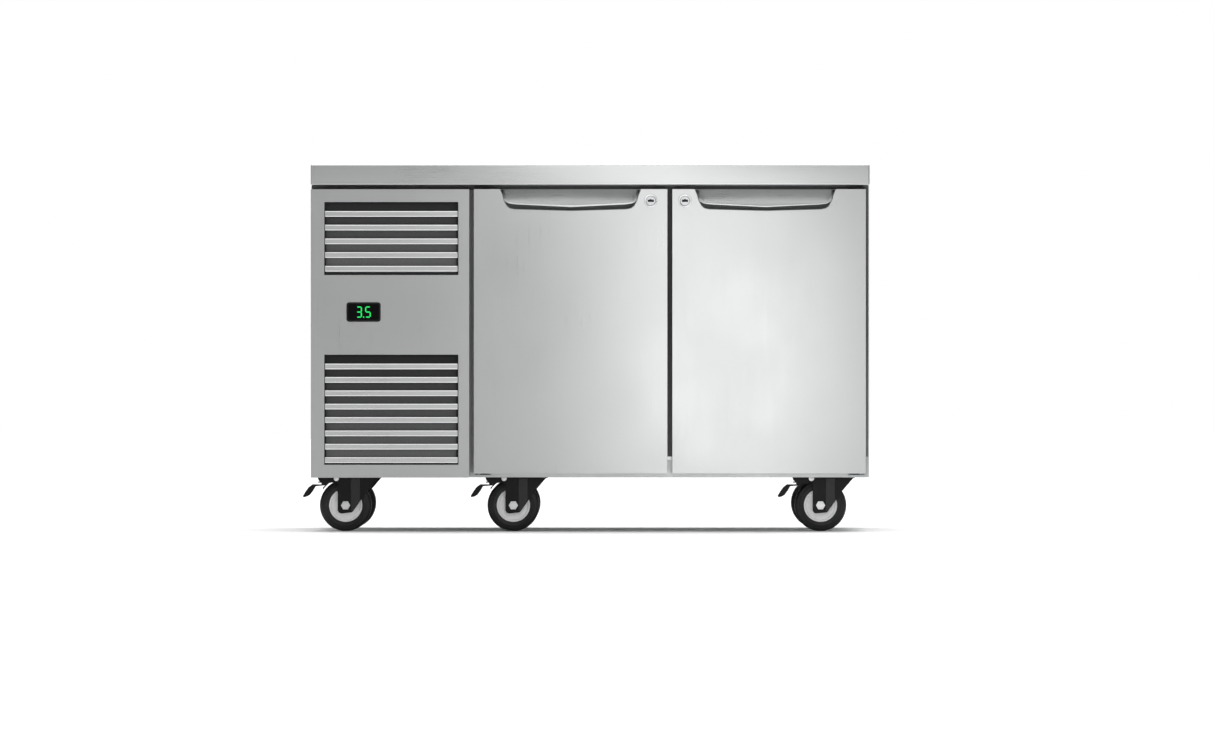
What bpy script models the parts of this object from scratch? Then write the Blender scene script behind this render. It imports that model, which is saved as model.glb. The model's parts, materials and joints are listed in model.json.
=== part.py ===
"""Two-door under counter fridge with a side machine bay, on six swivel castors.

Units are metres, +Z is up and the front faces -Y. The origin is on the floor, under the
middle of the overall size, brake pedals included."""

import math

import bmesh
import bpy
from mathutils import Matrix, Vector

# ---- Driving dimensions --------------------------------------------------------------

# Overall cabinet
WIDTH = 1.340
DEPTH = 0.700
HEIGHT = 0.880
WORKTOP_THICKNESS = 0.048
WORKTOP_RETURN = 0.020
SHEET = 0.0015
GAP = 0.0003
THROUGH = 0.002  # how far a cutter runs past the face that it opens

# Body, seen from the front
DOOR_SETBACK = 0.008  # worktop's front edge to the doors' and panel's faces
SKIRT_DEPTH = 0.020  # the body's skirt below the castors' mounting faces
TOP_REVEAL = 0.010
BOTTOM_REVEAL = 0.010
PANEL_WIDTH = 0.380
PANEL_REVEAL = 0.011
DOOR_REVEAL = 0.012
RIGHT_REVEAL = 0.009
FRONT_RETURN = 0.012

# Insulated body
BAY_OVERLAP = 0.005  # the bay divider's place behind the gap beside the panel
SIDE_INSULATION = 0.060
BACK_INSULATION = 0.065
FLOOR_INSULATION = 0.040
MULLION_WIDTH = 0.060
MULLION_DEPTH = 0.060
POCKET_REACH = 0.095  # the evaporator pocket's housing, out from the bay divider
POCKET_DEPTH = 0.345
POCKET_HEIGHT = 0.3067
POCKET_WALL = 0.038

# Vent slots of the machine bay's back and side
VENT_SLOTS = 8
VENT_PITCH = 0.024
VENT_SLOT_HEIGHT = 0.008
VENT_RISE = 0.0817  # the lowest slot above the base plate
BACK_VENT_MARGINS = (0.070, 0.075)  # from the cabinet's left and from the bay divider
SIDE_VENT_ENDS = (0.340, 0.120)  # in from the cabinet's back

# Doors
DOOR_THICKNESS = 0.040
DOOR_SHEET = 0.0012
GASKET_THICKNESS = 0.012
GASKET_INSET = 0.013
GASKET_WIDTH = 0.010
PIVOT_INSET = 0.012  # hinge axis from the door's edge, and from its face
PIN_RADIUS = 0.004
PIN_CLEARANCE = 0.0004
PIN_ENGAGEMENT = 0.018
BORE_SPARE = 0.002  # how much deeper than its pin or barrel a bore is
BRACKET_SHEET = 0.003
BRACKET_DOOR_GAP = 0.0035
BRACKET_FRONT_INSET = 0.0048
BRACKET_END = 0.0096  # past the pin's axis
BRACKET_LENGTH = 0.040
BRACKET_FLANGE = 0.011

# Door furniture, set out from a line just left of the doors' meeting gap
FURNITURE_SHIFT = 0.0047
LOCK_OFFSET = 0.041
LOCK_DROP = 0.028
LOCK_RADIUS = 0.012
LOCK_CLEARANCE = 0.0005
LOCK_PROUD = 0.003
LOCK_DEPTH = 0.022
KEYWAY = (0.0147, 0.0057, 0.006)
PULL_OFFSET = 0.2335
PULL_RECESS = 0.032
PULL_TOP_SETBACK = 0.018
PULL_LIP_PROUD = 0.0072
PULL_SIDE_GAP = 0.0014
PULL_ROWS = 6
# Half width of the pull's cut-out against the drop below the door's top
CUTOUT_HALF = [
    (0.1695, 0.0), (0.1635, 0.015), (0.1600, 0.0273), (0.1530, 0.0405),
    (0.1460, 0.0460), (0.1340, 0.0486), (0.0, 0.0522),
]
# The pull plate's lower edge: half width against the drop below the door's top
LIP_HALF = [(0.0, 0.0420), (0.1340, 0.0357), (0.1516, 0.0335), (0.1600, 0.0273)]

# Grilles and controller, set out down the panel. The lower grille takes what is left
GRILLE_LEFT = 0.0324
GRILLE_RIGHT = 0.0263
GRILLE_TOP_MARGIN = 0.031
UPPER_GRILLE_HEIGHT = 0.175
CONTROLLER_TOP_GAP = 0.0654
CONTROLLER_BOTTOM_GAP = 0.0788
GRILLE_BOTTOM_MARGIN = 0.031
BLADE_HEIGHT = 0.0136
BLADE_DEPTH = 0.009
BLADE_SHEET = 0.0012
BLADE_SIDE_GAP = 0.0015
UPPER_BLADE_PITCH = 0.0329
LOWER_BLADE_PITCH = 0.03207
BLADE_TOP = 0.0283  # the opening's top to the first blade's centre
BLADE_BOTTOM = 0.0085  # the least from the last blade's centre to the opening's bottom
GRILLE_FRAME = 0.004
GRILLE_LAP = 0.008
CONTROLLER_LEFT = 0.0856
CONTROLLER_SIZE = (0.082, 0.0468)
CONTROLLER_CORNER = 0.0064
CONTROLLER_BEZEL = 0.0025
CONTROLLER_DEPTH = 0.030
CONTROLLER_LAP = 0.004
CONTROLLER_CLEARANCE = 0.001

# Refrigeration
CONDENSER_SIZE = (0.280, 0.054, 0.258)
CONDENSER_PLACE = (0.055, 0.020, 0.0122)  # from the bay's left, its front and its floor
CONDENSER_END = 0.006
CONDENSER_END_LAP = 0.005  # how far the end plates stand past the fins
SHROUD_DEPTH = 0.034
CONDENSER_FAN_RADIUS = 0.095
EVAPORATOR_FAN_RADIUS = 0.070
FAN_CLEARANCE = 0.008
FAN_WIDTH = 0.022
FAN_HUB_RADIUS = 0.026
FAN_BLADES = 5
FAN_PITCH = math.radians(28)
FAN_CHORD = 0.45  # a blade's width as a share of the fan's radius
FAN_SHEET = 0.002
FAN_ROOT_LAP = 0.004
MOTOR_RADIUS = 0.030
MOTOR_LENGTH = 0.045
MOTOR_ARM_HEIGHT = 0.016
MOTOR_ARM_SHEET = 0.003
MOTOR_ARM_LEG = 0.004
MOTOR_ARM_LAP = 0.010  # how far the arm runs past the fan's ring
COMPRESSOR_LEFT = 0.190  # its axis, from the cabinet's left and from its back
COMPRESSOR_BACK = 0.210
COMPRESSOR_RADIUS = 0.085
COMPRESSOR_HEIGHT = 0.190
COMPRESSOR_DOME = 0.0468
COMPRESSOR_FOOT = 0.015
FOOT_RADIUS = 0.010
FOOT_PLATE = (0.200, 0.150)
FOOT_PLATE_LEVELS = (0.004, 0.007)
FOOT_MARGIN = 0.015
COIL_THICKNESS = 0.045
COIL_CLEARANCE = 0.008
COVER_LAP = 0.016
EVAPORATOR_FAN_DROP = 0.120
EVAPORATOR_FAN_SETBACK = 0.006
EVAPORATOR_ARM_GAP = 0.010
EVAPORATOR_MOTOR_RADIUS = 0.024
RETURN_SLOTS = 4
RETURN_SLOT_HEIGHT = 0.006
RETURN_PITCH = 0.012
RETURN_MARGINS = (0.020, 0.030, 0.008)  # from the pocket's front, its back and its floor

# Shelves
SHELF_HEIGHT = 0.2817  # above the cavity's floor
SHELF_SIDE_GAP = 0.011
SHELF_FRONT_GAP = 0.040
SHELF_BACK_GAP = 0.005
SHELF_BAR = 0.006
SHELF_WIRES = 15
SHELF_MULLION_GAP = 0.003
RUNNER_REACH = 0.030
CENTRE_RUNNER_REACH = 0.048
RUNNER_HEIGHT = 0.020
POST_SHEET = 0.003
POST_WIDTH = 0.016
POST_INSET = 0.010
REAR_POST_GAP = 0.020

# Castors
CASTOR_LEFT = 0.1206  # swivel axes, from the cabinet's left
CASTOR_MIDDLE = 0.5246
CASTOR_RIGHT = 0.0753  # and from its right
CASTOR_FRONT_SETBACK = 0.140
CASTOR_BACK_SETBACK = 0.090
CASTOR_TRAIL = 0.040
WHEEL_RADIUS = 0.0625
WHEEL_SIDES = 32
TYRE_WIDTH = 0.032
TREAD_CHAMFER = (0.006, 0.007)
HUB_RADIUS = 0.0402
HUB_WIDTH = 0.034
HUB_BOSS = 0.013
HUB_RIM_SETBACK = 0.004
AXLE_RADIUS = 0.006
AXLE_CLEARANCE = 0.0006
AXLE_REACH = 0.004  # past the fork's legs
AXLE_HEAD_RADIUS = 0.0108
AXLE_HEAD = 0.0065
FORK_SHEET = 0.003
FORK_WHEEL_GAP = 0.003
HEAD_LAP = 0.001  # how far a pin or head is sunk in the fork's leg
CROWN_RADIUS = 0.0426
CROWN_HEIGHT = 0.0135
CROWN_WHEEL_GAP = 0.0026
LEG_LAP = 0.0074  # how far a leg's top stands in the crown
RACE_RADIUS = 0.030
RACE_HEIGHT = 0.0047
PLATE_SHEET = 0.004
PLATE_SIZE = (0.100, 0.085)
RAIL_WIDTH = 0.090
RAIL_HEIGHT = 0.008
RAIL_SHEET = 0.003
RAIL_END_GAP = 0.002
SWIVEL_GAP = 0.0005

# Brake. Its outlines run from the wheel's centre across and from the legs' tops down
BRAKE_PIVOT = (-0.022, -0.0077)
BRAKE_PIN_RADIUS = 0.0039
BRAKE_HEAD_RADIUS = 0.0062
BRAKE_HEAD = 0.002
BRAKE_CHEEK = 0.0034
BRAKE_SIDE_GAP = 0.0008
PEDAL_REACH = 0.103
SHOE_GAP = 0.004
SHOE_WIDTH = 0.0269
SHOE_SHEET = 0.0028
SHOE_ANGLES = (124, 144)
PEDAL_SHEET = 0.0025

# ---- Places worked out from them -----------------------------------------------------

FRONT = -DEPTH / 2
BACK = DEPTH / 2
PEDAL_OVERHANG = PEDAL_REACH + CASTOR_TRAIL - CASTOR_LEFT
LEFT = -(WIDTH - PEDAL_OVERHANG) / 2
RIGHT = LEFT + WIDTH
FACE = FRONT + DOOR_SETBACK
DOOR_BACK = FACE + DOOR_THICKNESS
BODY_FRONT = DOOR_BACK + GASKET_THICKNESS
WHEEL_CENTRE_Z = WHEEL_RADIUS * math.cos(math.pi / WHEEL_SIDES)  # it stands on one flat
CROWN_BOTTOM = WHEEL_CENTRE_Z + WHEEL_RADIUS + CROWN_WHEEL_GAP
CROWN_TOP = CROWN_BOTTOM + CROWN_HEIGHT
LEG_TOP = CROWN_BOTTOM + LEG_LAP
CASTOR_HEIGHT = CROWN_TOP + SWIVEL_GAP + RACE_HEIGHT + PLATE_SHEET
BODY_UNDERSIDE = CASTOR_HEIGHT - SKIRT_DEPTH
WORKTOP_UNDERSIDE = HEIGHT - WORKTOP_THICKNESS
BODY_TOP = WORKTOP_UNDERSIDE - GAP
BASE_PLATE = CASTOR_HEIGHT + RAIL_HEIGHT + GAP
DOOR_TOP = WORKTOP_UNDERSIDE - TOP_REVEAL
DOOR_BOTTOM = BODY_UNDERSIDE + BOTTOM_REVEAL
BAY_WIDTH = PANEL_WIDTH + BAY_OVERLAP
DOORS_LEFT = LEFT + PANEL_WIDTH + PANEL_REVEAL
DOOR_WIDTH = (RIGHT - RIGHT_REVEAL - DOORS_LEFT - DOOR_REVEAL) / 2
MEETING = DOORS_LEFT + DOOR_WIDTH + DOOR_REVEAL / 2
FURNITURE_LINE = MEETING - FURNITURE_SHIFT
CAVITY_LOW = Vector((LEFT + BAY_WIDTH + SIDE_INSULATION, BODY_FRONT, BASE_PLATE + FLOOR_INSULATION))
CAVITY_HIGH = Vector((RIGHT - SIDE_INSULATION, BACK - BACK_INSULATION, BODY_TOP - SIDE_INSULATION))
POCKET_LOW = Vector((
    LEFT + BAY_WIDTH - POCKET_REACH, CAVITY_HIGH.y - POCKET_DEPTH, CAVITY_HIGH.z - POCKET_HEIGHT,
))
POCKET_LINER_LOW = POCKET_LOW + Vector((1, 1, 1)) * (SHEET + POCKET_WALL + 2 * GAP)
FORK_INNER = TYRE_WIDTH / 2 + FORK_WHEEL_GAP
FORK_OUTER = FORK_INNER + FORK_SHEET
EVAPORATOR_FAN = Vector((
    CAVITY_LOW.x - FAN_WIDTH / 2 - EVAPORATOR_FAN_SETBACK,
    (POCKET_LINER_LOW.y + CAVITY_HIGH.y) / 2,
    CAVITY_HIGH.z - EVAPORATOR_FAN_DROP,
))
CONDENSER_LOW = Vector((LEFT, BODY_FRONT, BASE_PLATE + SHEET)) + Vector(CONDENSER_PLACE)
CONDENSER_HIGH = CONDENSER_LOW + Vector(CONDENSER_SIZE)
CONDENSER_FAN = Vector((
    (CONDENSER_LOW.x + CONDENSER_HIGH.x) / 2,
    CONDENSER_HIGH.y + SHROUD_DEPTH + FAN_WIDTH / 2,
    (CONDENSER_LOW.z + CONDENSER_HIGH.z) / 2,
))
GRILLE_X = (LEFT + GRILLE_LEFT, LEFT + PANEL_WIDTH - GRILLE_RIGHT)
UPPER_GRILLE = (DOOR_TOP - GRILLE_TOP_MARGIN - UPPER_GRILLE_HEIGHT, DOOR_TOP - GRILLE_TOP_MARGIN)
CONTROLLER_CENTRE = (
    LEFT + CONTROLLER_LEFT + CONTROLLER_SIZE[0] / 2,
    UPPER_GRILLE[0] - CONTROLLER_TOP_GAP - CONTROLLER_SIZE[1] / 2,
)
LOWER_GRILLE = (
    BODY_UNDERSIDE + GRILLE_BOTTOM_MARGIN,
    CONTROLLER_CENTRE[1] - CONTROLLER_SIZE[1] / 2 - CONTROLLER_BOTTOM_GAP,
)
SHELF_LEVEL = CAVITY_LOW.z + SHELF_HEIGHT
SHELF_FRONT = BODY_FRONT + SHELF_FRONT_GAP
SHELF_BACK = CAVITY_HIGH.y - SHELF_BACK_GAP
REAR_POST = CAVITY_HIGH.y - REAR_POST_GAP


# ---- Scene, materials and basic shapes -----------------------------------------------

def empty_scene():
    for obj in list(bpy.data.objects):
        bpy.data.objects.remove(obj)


def new_collection(name):
    made = bpy.data.collections.new(name)
    bpy.context.scene.collection.children.link(made)
    return made


def finish(name, colour, roughness, metallic):
    made = bpy.data.materials.new(name)
    made.use_nodes = True
    shader = made.node_tree.nodes["Principled BSDF"]
    shader.inputs["Base Color"].default_value = (*colour, 1.0)
    shader.inputs["Roughness"].default_value = roughness
    shader.inputs["Metallic"].default_value = metallic
    made.diffuse_color = (*colour, 1.0)
    return made


def mesh_of(name, bm):
    mesh = bpy.data.meshes.new(name)
    bm.to_mesh(mesh)
    bm.free()
    return mesh


def place(name, mesh, material=None, where=(0, 0, 0), turn=(0, 0, 0), home=None):
    """A new object of this mesh, in the fridge's collection unless another is given."""
    obj = bpy.data.objects.new(name, mesh)
    obj.location = where
    obj.rotation_euler = turn
    (home or PARTS).objects.link(obj)
    if material:
        mesh.materials.append(material)
    return obj


def boxes(name, blocks, centre=(0, 0, 0)):
    """One mesh of separate boxes, each given by its low and high corners."""
    bm = bmesh.new()
    for low, high in blocks:
        low, high = Vector(low), Vector(high)
        made = bmesh.ops.create_cube(bm, size=1)["verts"]
        bmesh.ops.scale(bm, vec=high - low, verts=made)
        bmesh.ops.translate(bm, vec=(low + high) / 2 - Vector(centre), verts=made)
    return mesh_of(name, bm)


def block(name, low, high, material):
    """One box as a part, with its origin at its centre."""
    centre = (Vector(low) + Vector(high)) / 2
    return place(name, boxes(name, [(low, high)], centre), material, centre)


def rod(name, radius, start, end, sides=16):
    """A round bar's mesh from one point to another."""
    start, end = Vector(start), Vector(end)
    run = end - start
    turn = run.to_track_quat("Z", "Y").to_matrix().to_4x4()
    bm = bmesh.new()
    bmesh.ops.create_cone(
        bm, cap_ends=True, segments=sides, radius1=radius, radius2=radius,
        depth=run.length, matrix=Matrix.Translation((start + end) / 2) @ turn,
    )
    return mesh_of(name, bm)


def flat_plate(name, outline, back, front):
    """The mesh of a flat outline of (x, z) points, from y = front to y = back."""
    curve = bpy.data.curves.new(name, "CURVE")
    curve.dimensions = "2D"
    curve.fill_mode = "BOTH"
    curve.extrude = (back - front) / 2
    spline = curve.splines.new("POLY")
    spline.points.add(len(outline) - 1)
    for point, (x, z) in zip(spline.points, outline):
        point.co = (x, z, 0, 1)
    spline.use_cyclic_u = True
    guide = bpy.data.objects.new(name + "_outline", curve)
    CUTTERS.objects.link(guide)
    bpy.context.view_layer.update()
    mesh = bpy.data.meshes.new_from_object(guide.evaluated_get(bpy.context.evaluated_depsgraph_get()))
    bpy.data.objects.remove(guide)
    bm = bmesh.new()
    bm.from_mesh(mesh)
    bmesh.ops.remove_doubles(bm, verts=bm.verts, dist=0.00001)
    bmesh.ops.dissolve_limit(bm, angle_limit=math.radians(0.1), verts=bm.verts, edges=bm.edges)
    stand = Matrix.Translation((0, (front + back) / 2, 0)) @ Matrix.Rotation(math.pi / 2, 4, "X")
    bmesh.ops.transform(bm, matrix=stand, verts=bm.verts)
    bmesh.ops.recalc_face_normals(bm, faces=bm.faces)
    bm.to_mesh(mesh)
    bm.free()
    return mesh


def turned(name, profile, closed, sides, material, where, turn):
    """A piece turned about its own Z axis. The profile is (radius, height) points that run
    down the outer side."""
    bm = bmesh.new()
    points = [bm.verts.new((radius, 0, height)) for radius, height in profile]
    ends = points[1:] + ([points[0]] if closed else [])
    for start, end in zip(points, ends):
        bm.edges.new((start, end))
    obj = place(name, mesh_of(name, bm), material, where, turn)
    screw = obj.modifiers.new("Turn", "SCREW")
    screw.steps = screw.render_steps = sides
    screw.use_merge_vertices = True
    screw.merge_threshold = 0.00005
    screw.use_smooth_shade = True
    return obj


def combine(obj, mesh, operation):
    """A Boolean with a mesh that is made in world coordinates."""
    cutter = place(mesh.name, mesh, home=CUTTERS)
    cutter.hide_render = True
    cutter.display_type = "WIRE"
    boolean = obj.modifiers.new(operation.title(), "BOOLEAN")
    boolean.operation = operation
    boolean.solver = "EXACT"
    boolean.object = cutter
    return cutter


def cut(obj, *meshes):
    for mesh in meshes:
        combine(obj, mesh, "DIFFERENCE")


def cut_boxes(obj, *blocks):
    for number, corners in enumerate(blocks):
        combine(obj, boxes(f"{obj.name}_cut_{number}", [corners]), "DIFFERENCE")


def join(obj, *meshes):
    for mesh in meshes:
        combine(obj, mesh, "UNION")


def join_boxes(obj, *blocks):
    for number, corners in enumerate(blocks):
        combine(obj, boxes(f"{obj.name}_join_{number}", [corners]), "UNION")


def pivot(name, where):
    """An empty on a joint's axis."""
    made = bpy.data.objects.new(name, None)
    made.location = where
    made.empty_display_size = 0.05
    PARTS.objects.link(made)
    return made


def hang(parent, *children):
    """Parents the pieces to a pivot and leaves them where they are."""
    for child in children:
        child.parent = parent
        child.matrix_parent_inverse = Matrix.Translation(parent.location).inverted()


def smooth(obj):
    obj.data.shade_smooth()
    obj.data.set_sharp_from_angle(angle=math.radians(35))


def rounded(outline, radii, steps=4):
    """The outline with each corner that has a radius made an arc."""
    points = []
    for number, corner in enumerate(outline):
        radius = radii[number]
        corner = Vector(corner)
        before = (Vector(outline[number - 1]) - corner).normalized()
        after = (Vector(outline[(number + 1) % len(outline)]) - corner).normalized()
        if not radius:
            points.append(tuple(corner))
            continue
        half = before.angle(after) / 2
        reach = radius / math.tan(half)
        centre = corner + (before + after).normalized() * radius / math.sin(half)
        first = corner + before * reach - centre
        last = corner + after * reach - centre
        sweep = math.atan2(first.x * last.y - first.y * last.x, first.dot(last))
        for step in range(steps + 1):
            turn = Matrix.Rotation(sweep * step / steps, 2)
            points.append(tuple(centre + turn @ first))
    return points


# ---- Worktop and body ----------------------------------------------------------------

def make_worktop():
    """A folded steel top: four fascias and a return that rests on the body."""
    low = Vector((LEFT, FRONT, WORKTOP_UNDERSIDE))
    high = Vector((RIGHT, BACK, HEIGHT))
    inside = Vector((SHEET, SHEET, SHEET))
    lip = Vector((WORKTOP_RETURN, WORKTOP_RETURN, 0))
    top = block("worktop", low, high, STEEL)
    mouth_high = Vector((high.x, high.y, low.z + SHEET + THROUGH)) - lip
    cut_boxes(top, (low + inside, high - inside), (low + lip - Vector((0, 0, THROUGH)), mouth_high))


def vent_slots(name, count, pitch, low, high):
    """A column of equal slots: the given one and those above it."""
    low, high = Vector(low), Vector(high)
    step = Vector((0, 0, pitch))
    return boxes(name, [(low + step * number, high + step * number) for number in range(count)])


def bay_vents(name, low, high):
    """The bay's vent slots, between two (x, y) corners."""
    level = BASE_PLATE + VENT_RISE
    return vent_slots(name, VENT_SLOTS, VENT_PITCH, (*low, level), (*high, level + VENT_SLOT_HEIGHT))


def make_outer_casing():
    """The base, back, right side, top, bay divider and evaporator housing, in folded sheet."""
    casing = block("outer_casing", (LEFT, BODY_FRONT, BODY_UNDERSIDE), (RIGHT, BACK, BODY_TOP), STEEL)
    divider = LEFT + BAY_WIDTH
    floor = BASE_PLATE + SHEET
    ceiling = BODY_TOP - SHEET
    rear = BACK - SHEET
    cut_boxes(
        casing,
        ((divider + SHEET, BODY_FRONT + SHEET, floor), (RIGHT - SHEET, rear, ceiling)),
        (
            (divider + FRONT_RETURN, BODY_FRONT - THROUGH, BASE_PLATE + FRONT_RETURN),
            (RIGHT - FRONT_RETURN, BODY_FRONT + THROUGH, BODY_TOP - FRONT_RETURN),
        ),
        ((LEFT - THROUGH, BODY_FRONT - THROUGH, floor), (divider, rear, POCKET_LOW.z)),
        (
            (LEFT - THROUGH, BODY_FRONT - THROUGH, POCKET_LOW.z - THROUGH),
            (divider, POCKET_LOW.y, ceiling),
        ),
        (
            (LEFT - THROUGH, POCKET_LOW.y - THROUGH, POCKET_LOW.z - THROUGH),
            (POCKET_LOW.x, rear, ceiling),
        ),
        (
            POCKET_LOW + Vector((SHEET, SHEET, SHEET)),
            (divider + SHEET + THROUGH, rear, ceiling),
        ),
        (
            (LEFT + SHEET, BODY_FRONT + SHEET, BODY_UNDERSIDE - THROUGH),
            (RIGHT - SHEET, rear, BASE_PLATE),
        ),
    )
    ends = (LEFT + BACK_VENT_MARGINS[0], divider - BACK_VENT_MARGINS[1])
    cut(casing, bay_vents("back_vents", (ends[0], rear - THROUGH), (ends[1], BACK + THROUGH)))


def make_left_side_panel():
    """The machine bay's left cover, a pan with vent slots."""
    low = Vector((LEFT, BODY_FRONT, BASE_PLATE + SHEET + GAP))
    high = Vector((LEFT + FRONT_RETURN, BACK - SHEET - GAP, BODY_TOP - SHEET - GAP))
    panel = block("left_side_panel", low, high, STEEL)
    cut_boxes(panel, (
        (LEFT + SHEET, low.y + SHEET, low.z + SHEET),
        (high.x + THROUGH, high.y - SHEET, high.z - SHEET),
    ))
    start, end = (BACK - inset for inset in SIDE_VENT_ENDS)
    cut(panel, bay_vents("side_vents", (LEFT - THROUGH, start), (LEFT + SHEET + THROUGH, end)))


def make_insulation():
    """The foam between casing and liner, open for the cavity and the evaporator pocket."""
    skin = SHEET + GAP
    divider = LEFT + BAY_WIDTH
    low = Vector((divider + skin, BODY_FRONT + skin, BASE_PLATE + skin))
    high = Vector((RIGHT - skin, BACK - skin, BODY_TOP - skin))
    foam = block("insulation_foam", low, high, FOAM)
    join_boxes(foam, (POCKET_LOW + Vector((skin, skin, skin)), (low.x + THROUGH, high.y, high.z)))
    around = Vector((GAP, GAP, GAP))
    mouth = Vector((0, THROUGH, 0))
    pocket_high = Vector((CAVITY_LOW.x + THROUGH, CAVITY_HIGH.y, CAVITY_HIGH.z))
    cut_boxes(
        foam,
        (CAVITY_LOW - around - mouth, CAVITY_HIGH + around),
        (POCKET_LINER_LOW - around, pocket_high + around),
    )


def make_liner():
    """The inner steel tank with its front flange and the evaporator pocket."""
    liner = block("inner_liner", CAVITY_LOW, CAVITY_HIGH, STEEL)
    inset = FRONT_RETURN + GAP
    pocket_high = Vector((CAVITY_LOW.x + THROUGH, CAVITY_HIGH.y, CAVITY_HIGH.z))
    join_boxes(
        liner,
        (POCKET_LINER_LOW, pocket_high),
        (
            (LEFT + BAY_WIDTH + inset, BODY_FRONT, BASE_PLATE + inset),
            (RIGHT - inset, BODY_FRONT + SHEET, BODY_TOP - inset),
        ),
    )
    wall = Vector((SHEET, SHEET, SHEET))
    low = CAVITY_LOW + wall
    low.y = BODY_FRONT - THROUGH
    inside = CAVITY_HIGH - wall
    cut_boxes(
        liner,
        (low, inside),
        (POCKET_LINER_LOW + wall, (low.x + THROUGH, inside.y, inside.z)),
    )


def make_mullion():
    """The post between the two door openings that both gaskets close on."""
    half = MULLION_WIDTH / 2
    clear = SHEET + GAP
    block(
        "centre_mullion",
        (MEETING - half, BODY_FRONT, CAVITY_LOW.z + clear),
        (MEETING + half, BODY_FRONT + MULLION_DEPTH, CAVITY_HIGH.z - clear),
        STEEL,
    )


# ---- Service panel -------------------------------------------------------------------

def grille_opening(levels):
    return (GRILLE_X[0], FACE - THROUGH, levels[0]), (GRILLE_X[1], FACE + SHEET + THROUGH, levels[1])


def make_service_panel():
    """The removable front cover of the machine bay."""
    low = Vector((LEFT, FACE, BODY_UNDERSIDE))
    high = Vector((LEFT + PANEL_WIDTH, BODY_FRONT - GAP, DOOR_TOP))
    wall = Vector((SHEET, SHEET, SHEET))
    panel = block("service_panel", low, high, STEEL)
    inside = high - wall
    inside.y = high.y + THROUGH
    cut_boxes(panel, (low + wall, inside), grille_opening(UPPER_GRILLE), grille_opening(LOWER_GRILLE))
    x, z = CONTROLLER_CENTRE
    half_x = CONTROLLER_SIZE[0] / 2 - CONTROLLER_LAP + CONTROLLER_CLEARANCE
    half_z = CONTROLLER_SIZE[1] / 2 - CONTROLLER_LAP + CONTROLLER_CLEARANCE
    cut_boxes(panel, (
        (x - half_x, FACE - THROUGH, z - half_z),
        (x + half_x, FACE + SHEET + THROUGH, z + half_z),
    ))


def make_grille(name, levels, pitch):
    """A frame behind the panel with channel-shaped blades that stand in the opening."""
    back_face = FACE + SHEET + GAP
    left, right = GRILLE_X
    frame = block(
        name, (left - GRILLE_LAP, back_face, levels[0] - GRILLE_LAP),
        (right + GRILLE_LAP, back_face + SHEET, levels[1] + GRILLE_LAP), STEEL,
    )
    cut_boxes(frame, (
        (left + GRILLE_FRAME, back_face - THROUGH, levels[0] + GRILLE_FRAME),
        (right - GRILLE_FRAME, back_face + SHEET + THROUGH, levels[1] - GRILLE_FRAME),
    ))
    top_centre = levels[1] - BLADE_TOP
    count = 1 + int((top_centre - levels[0] - BLADE_BOTTOM) / pitch)
    half = BLADE_HEIGHT / 2
    bars, hollows = [], []
    for number in range(count):
        z = top_centre - number * pitch
        bars.append((
            (left + BLADE_SIDE_GAP, FACE + GAP, z - half),
            (right - BLADE_SIDE_GAP, FACE + BLADE_DEPTH, z + half),
        ))
        hollows.append((
            (left + GRILLE_FRAME, FACE + GAP + BLADE_SHEET, z - half + BLADE_SHEET),
            (right - GRILLE_FRAME, FACE + BLADE_DEPTH + THROUGH, z + half - BLADE_SHEET),
        ))
    join(frame, boxes(name + "_bars", bars))
    cut(frame, boxes(name + "_hollows", hollows))


def make_controller():
    """The display module: a rounded bezel on the panel's face and a body through it."""
    x, z = CONTROLLER_CENTRE
    half_x, half_z = CONTROLLER_SIZE[0] / 2, CONTROLLER_SIZE[1] / 2
    signs = [(-1, -1), (1, -1), (1, 1), (-1, 1)]
    corners = [(x + side * half_x, z + end * half_z) for side, end in signs]
    outline = rounded(corners, [CONTROLLER_CORNER] * 4, 5)
    back = FACE - GAP
    front = flat_plate("controller", outline, back, back - CONTROLLER_BEZEL)
    bezel = place("controller", front, BLACK_PLASTIC)
    half_x -= CONTROLLER_LAP
    half_z -= CONTROLLER_LAP
    join_boxes(bezel, (
        (x - half_x, FACE - CONTROLLER_BEZEL / 2, z - half_z),
        (x + half_x, FACE + CONTROLLER_DEPTH, z + half_z),
    ))


# ---- Refrigeration -------------------------------------------------------------------

def make_fan(name, centre, radius, axis_turn):
    """A hub with pitched blades. The fan's own axis is its local Z."""
    turn = Matrix.Translation(centre) @ axis_turn.to_4x4()
    bm = bmesh.new()
    bmesh.ops.create_cone(
        bm, cap_ends=True, segments=16, radius1=FAN_HUB_RADIUS, radius2=FAN_HUB_RADIUS, depth=FAN_WIDTH,
    )
    fan = place(name, mesh_of(name, bm), BLACK_PLASTIC, centre, axis_turn.to_euler())
    inner = FAN_HUB_RADIUS - FAN_ROOT_LAP
    length = radius - inner
    for number in range(FAN_BLADES):
        bm = bmesh.new()
        verts = bmesh.ops.create_cube(bm, size=1)["verts"]
        bmesh.ops.scale(bm, vec=(length, radius * FAN_CHORD, FAN_SHEET), verts=verts)
        bmesh.ops.rotate(bm, matrix=Matrix.Rotation(FAN_PITCH, 3, "X"), verts=verts)
        bmesh.ops.translate(bm, vec=(inner + length / 2, 0, 0), verts=verts)
        spin = Matrix.Rotation(2 * math.pi * number / FAN_BLADES, 4, "Z")
        bmesh.ops.transform(bm, matrix=turn @ spin, verts=verts)
        join(fan, mesh_of(f"{name}_blade_{number}", bm))
    return fan


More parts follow.
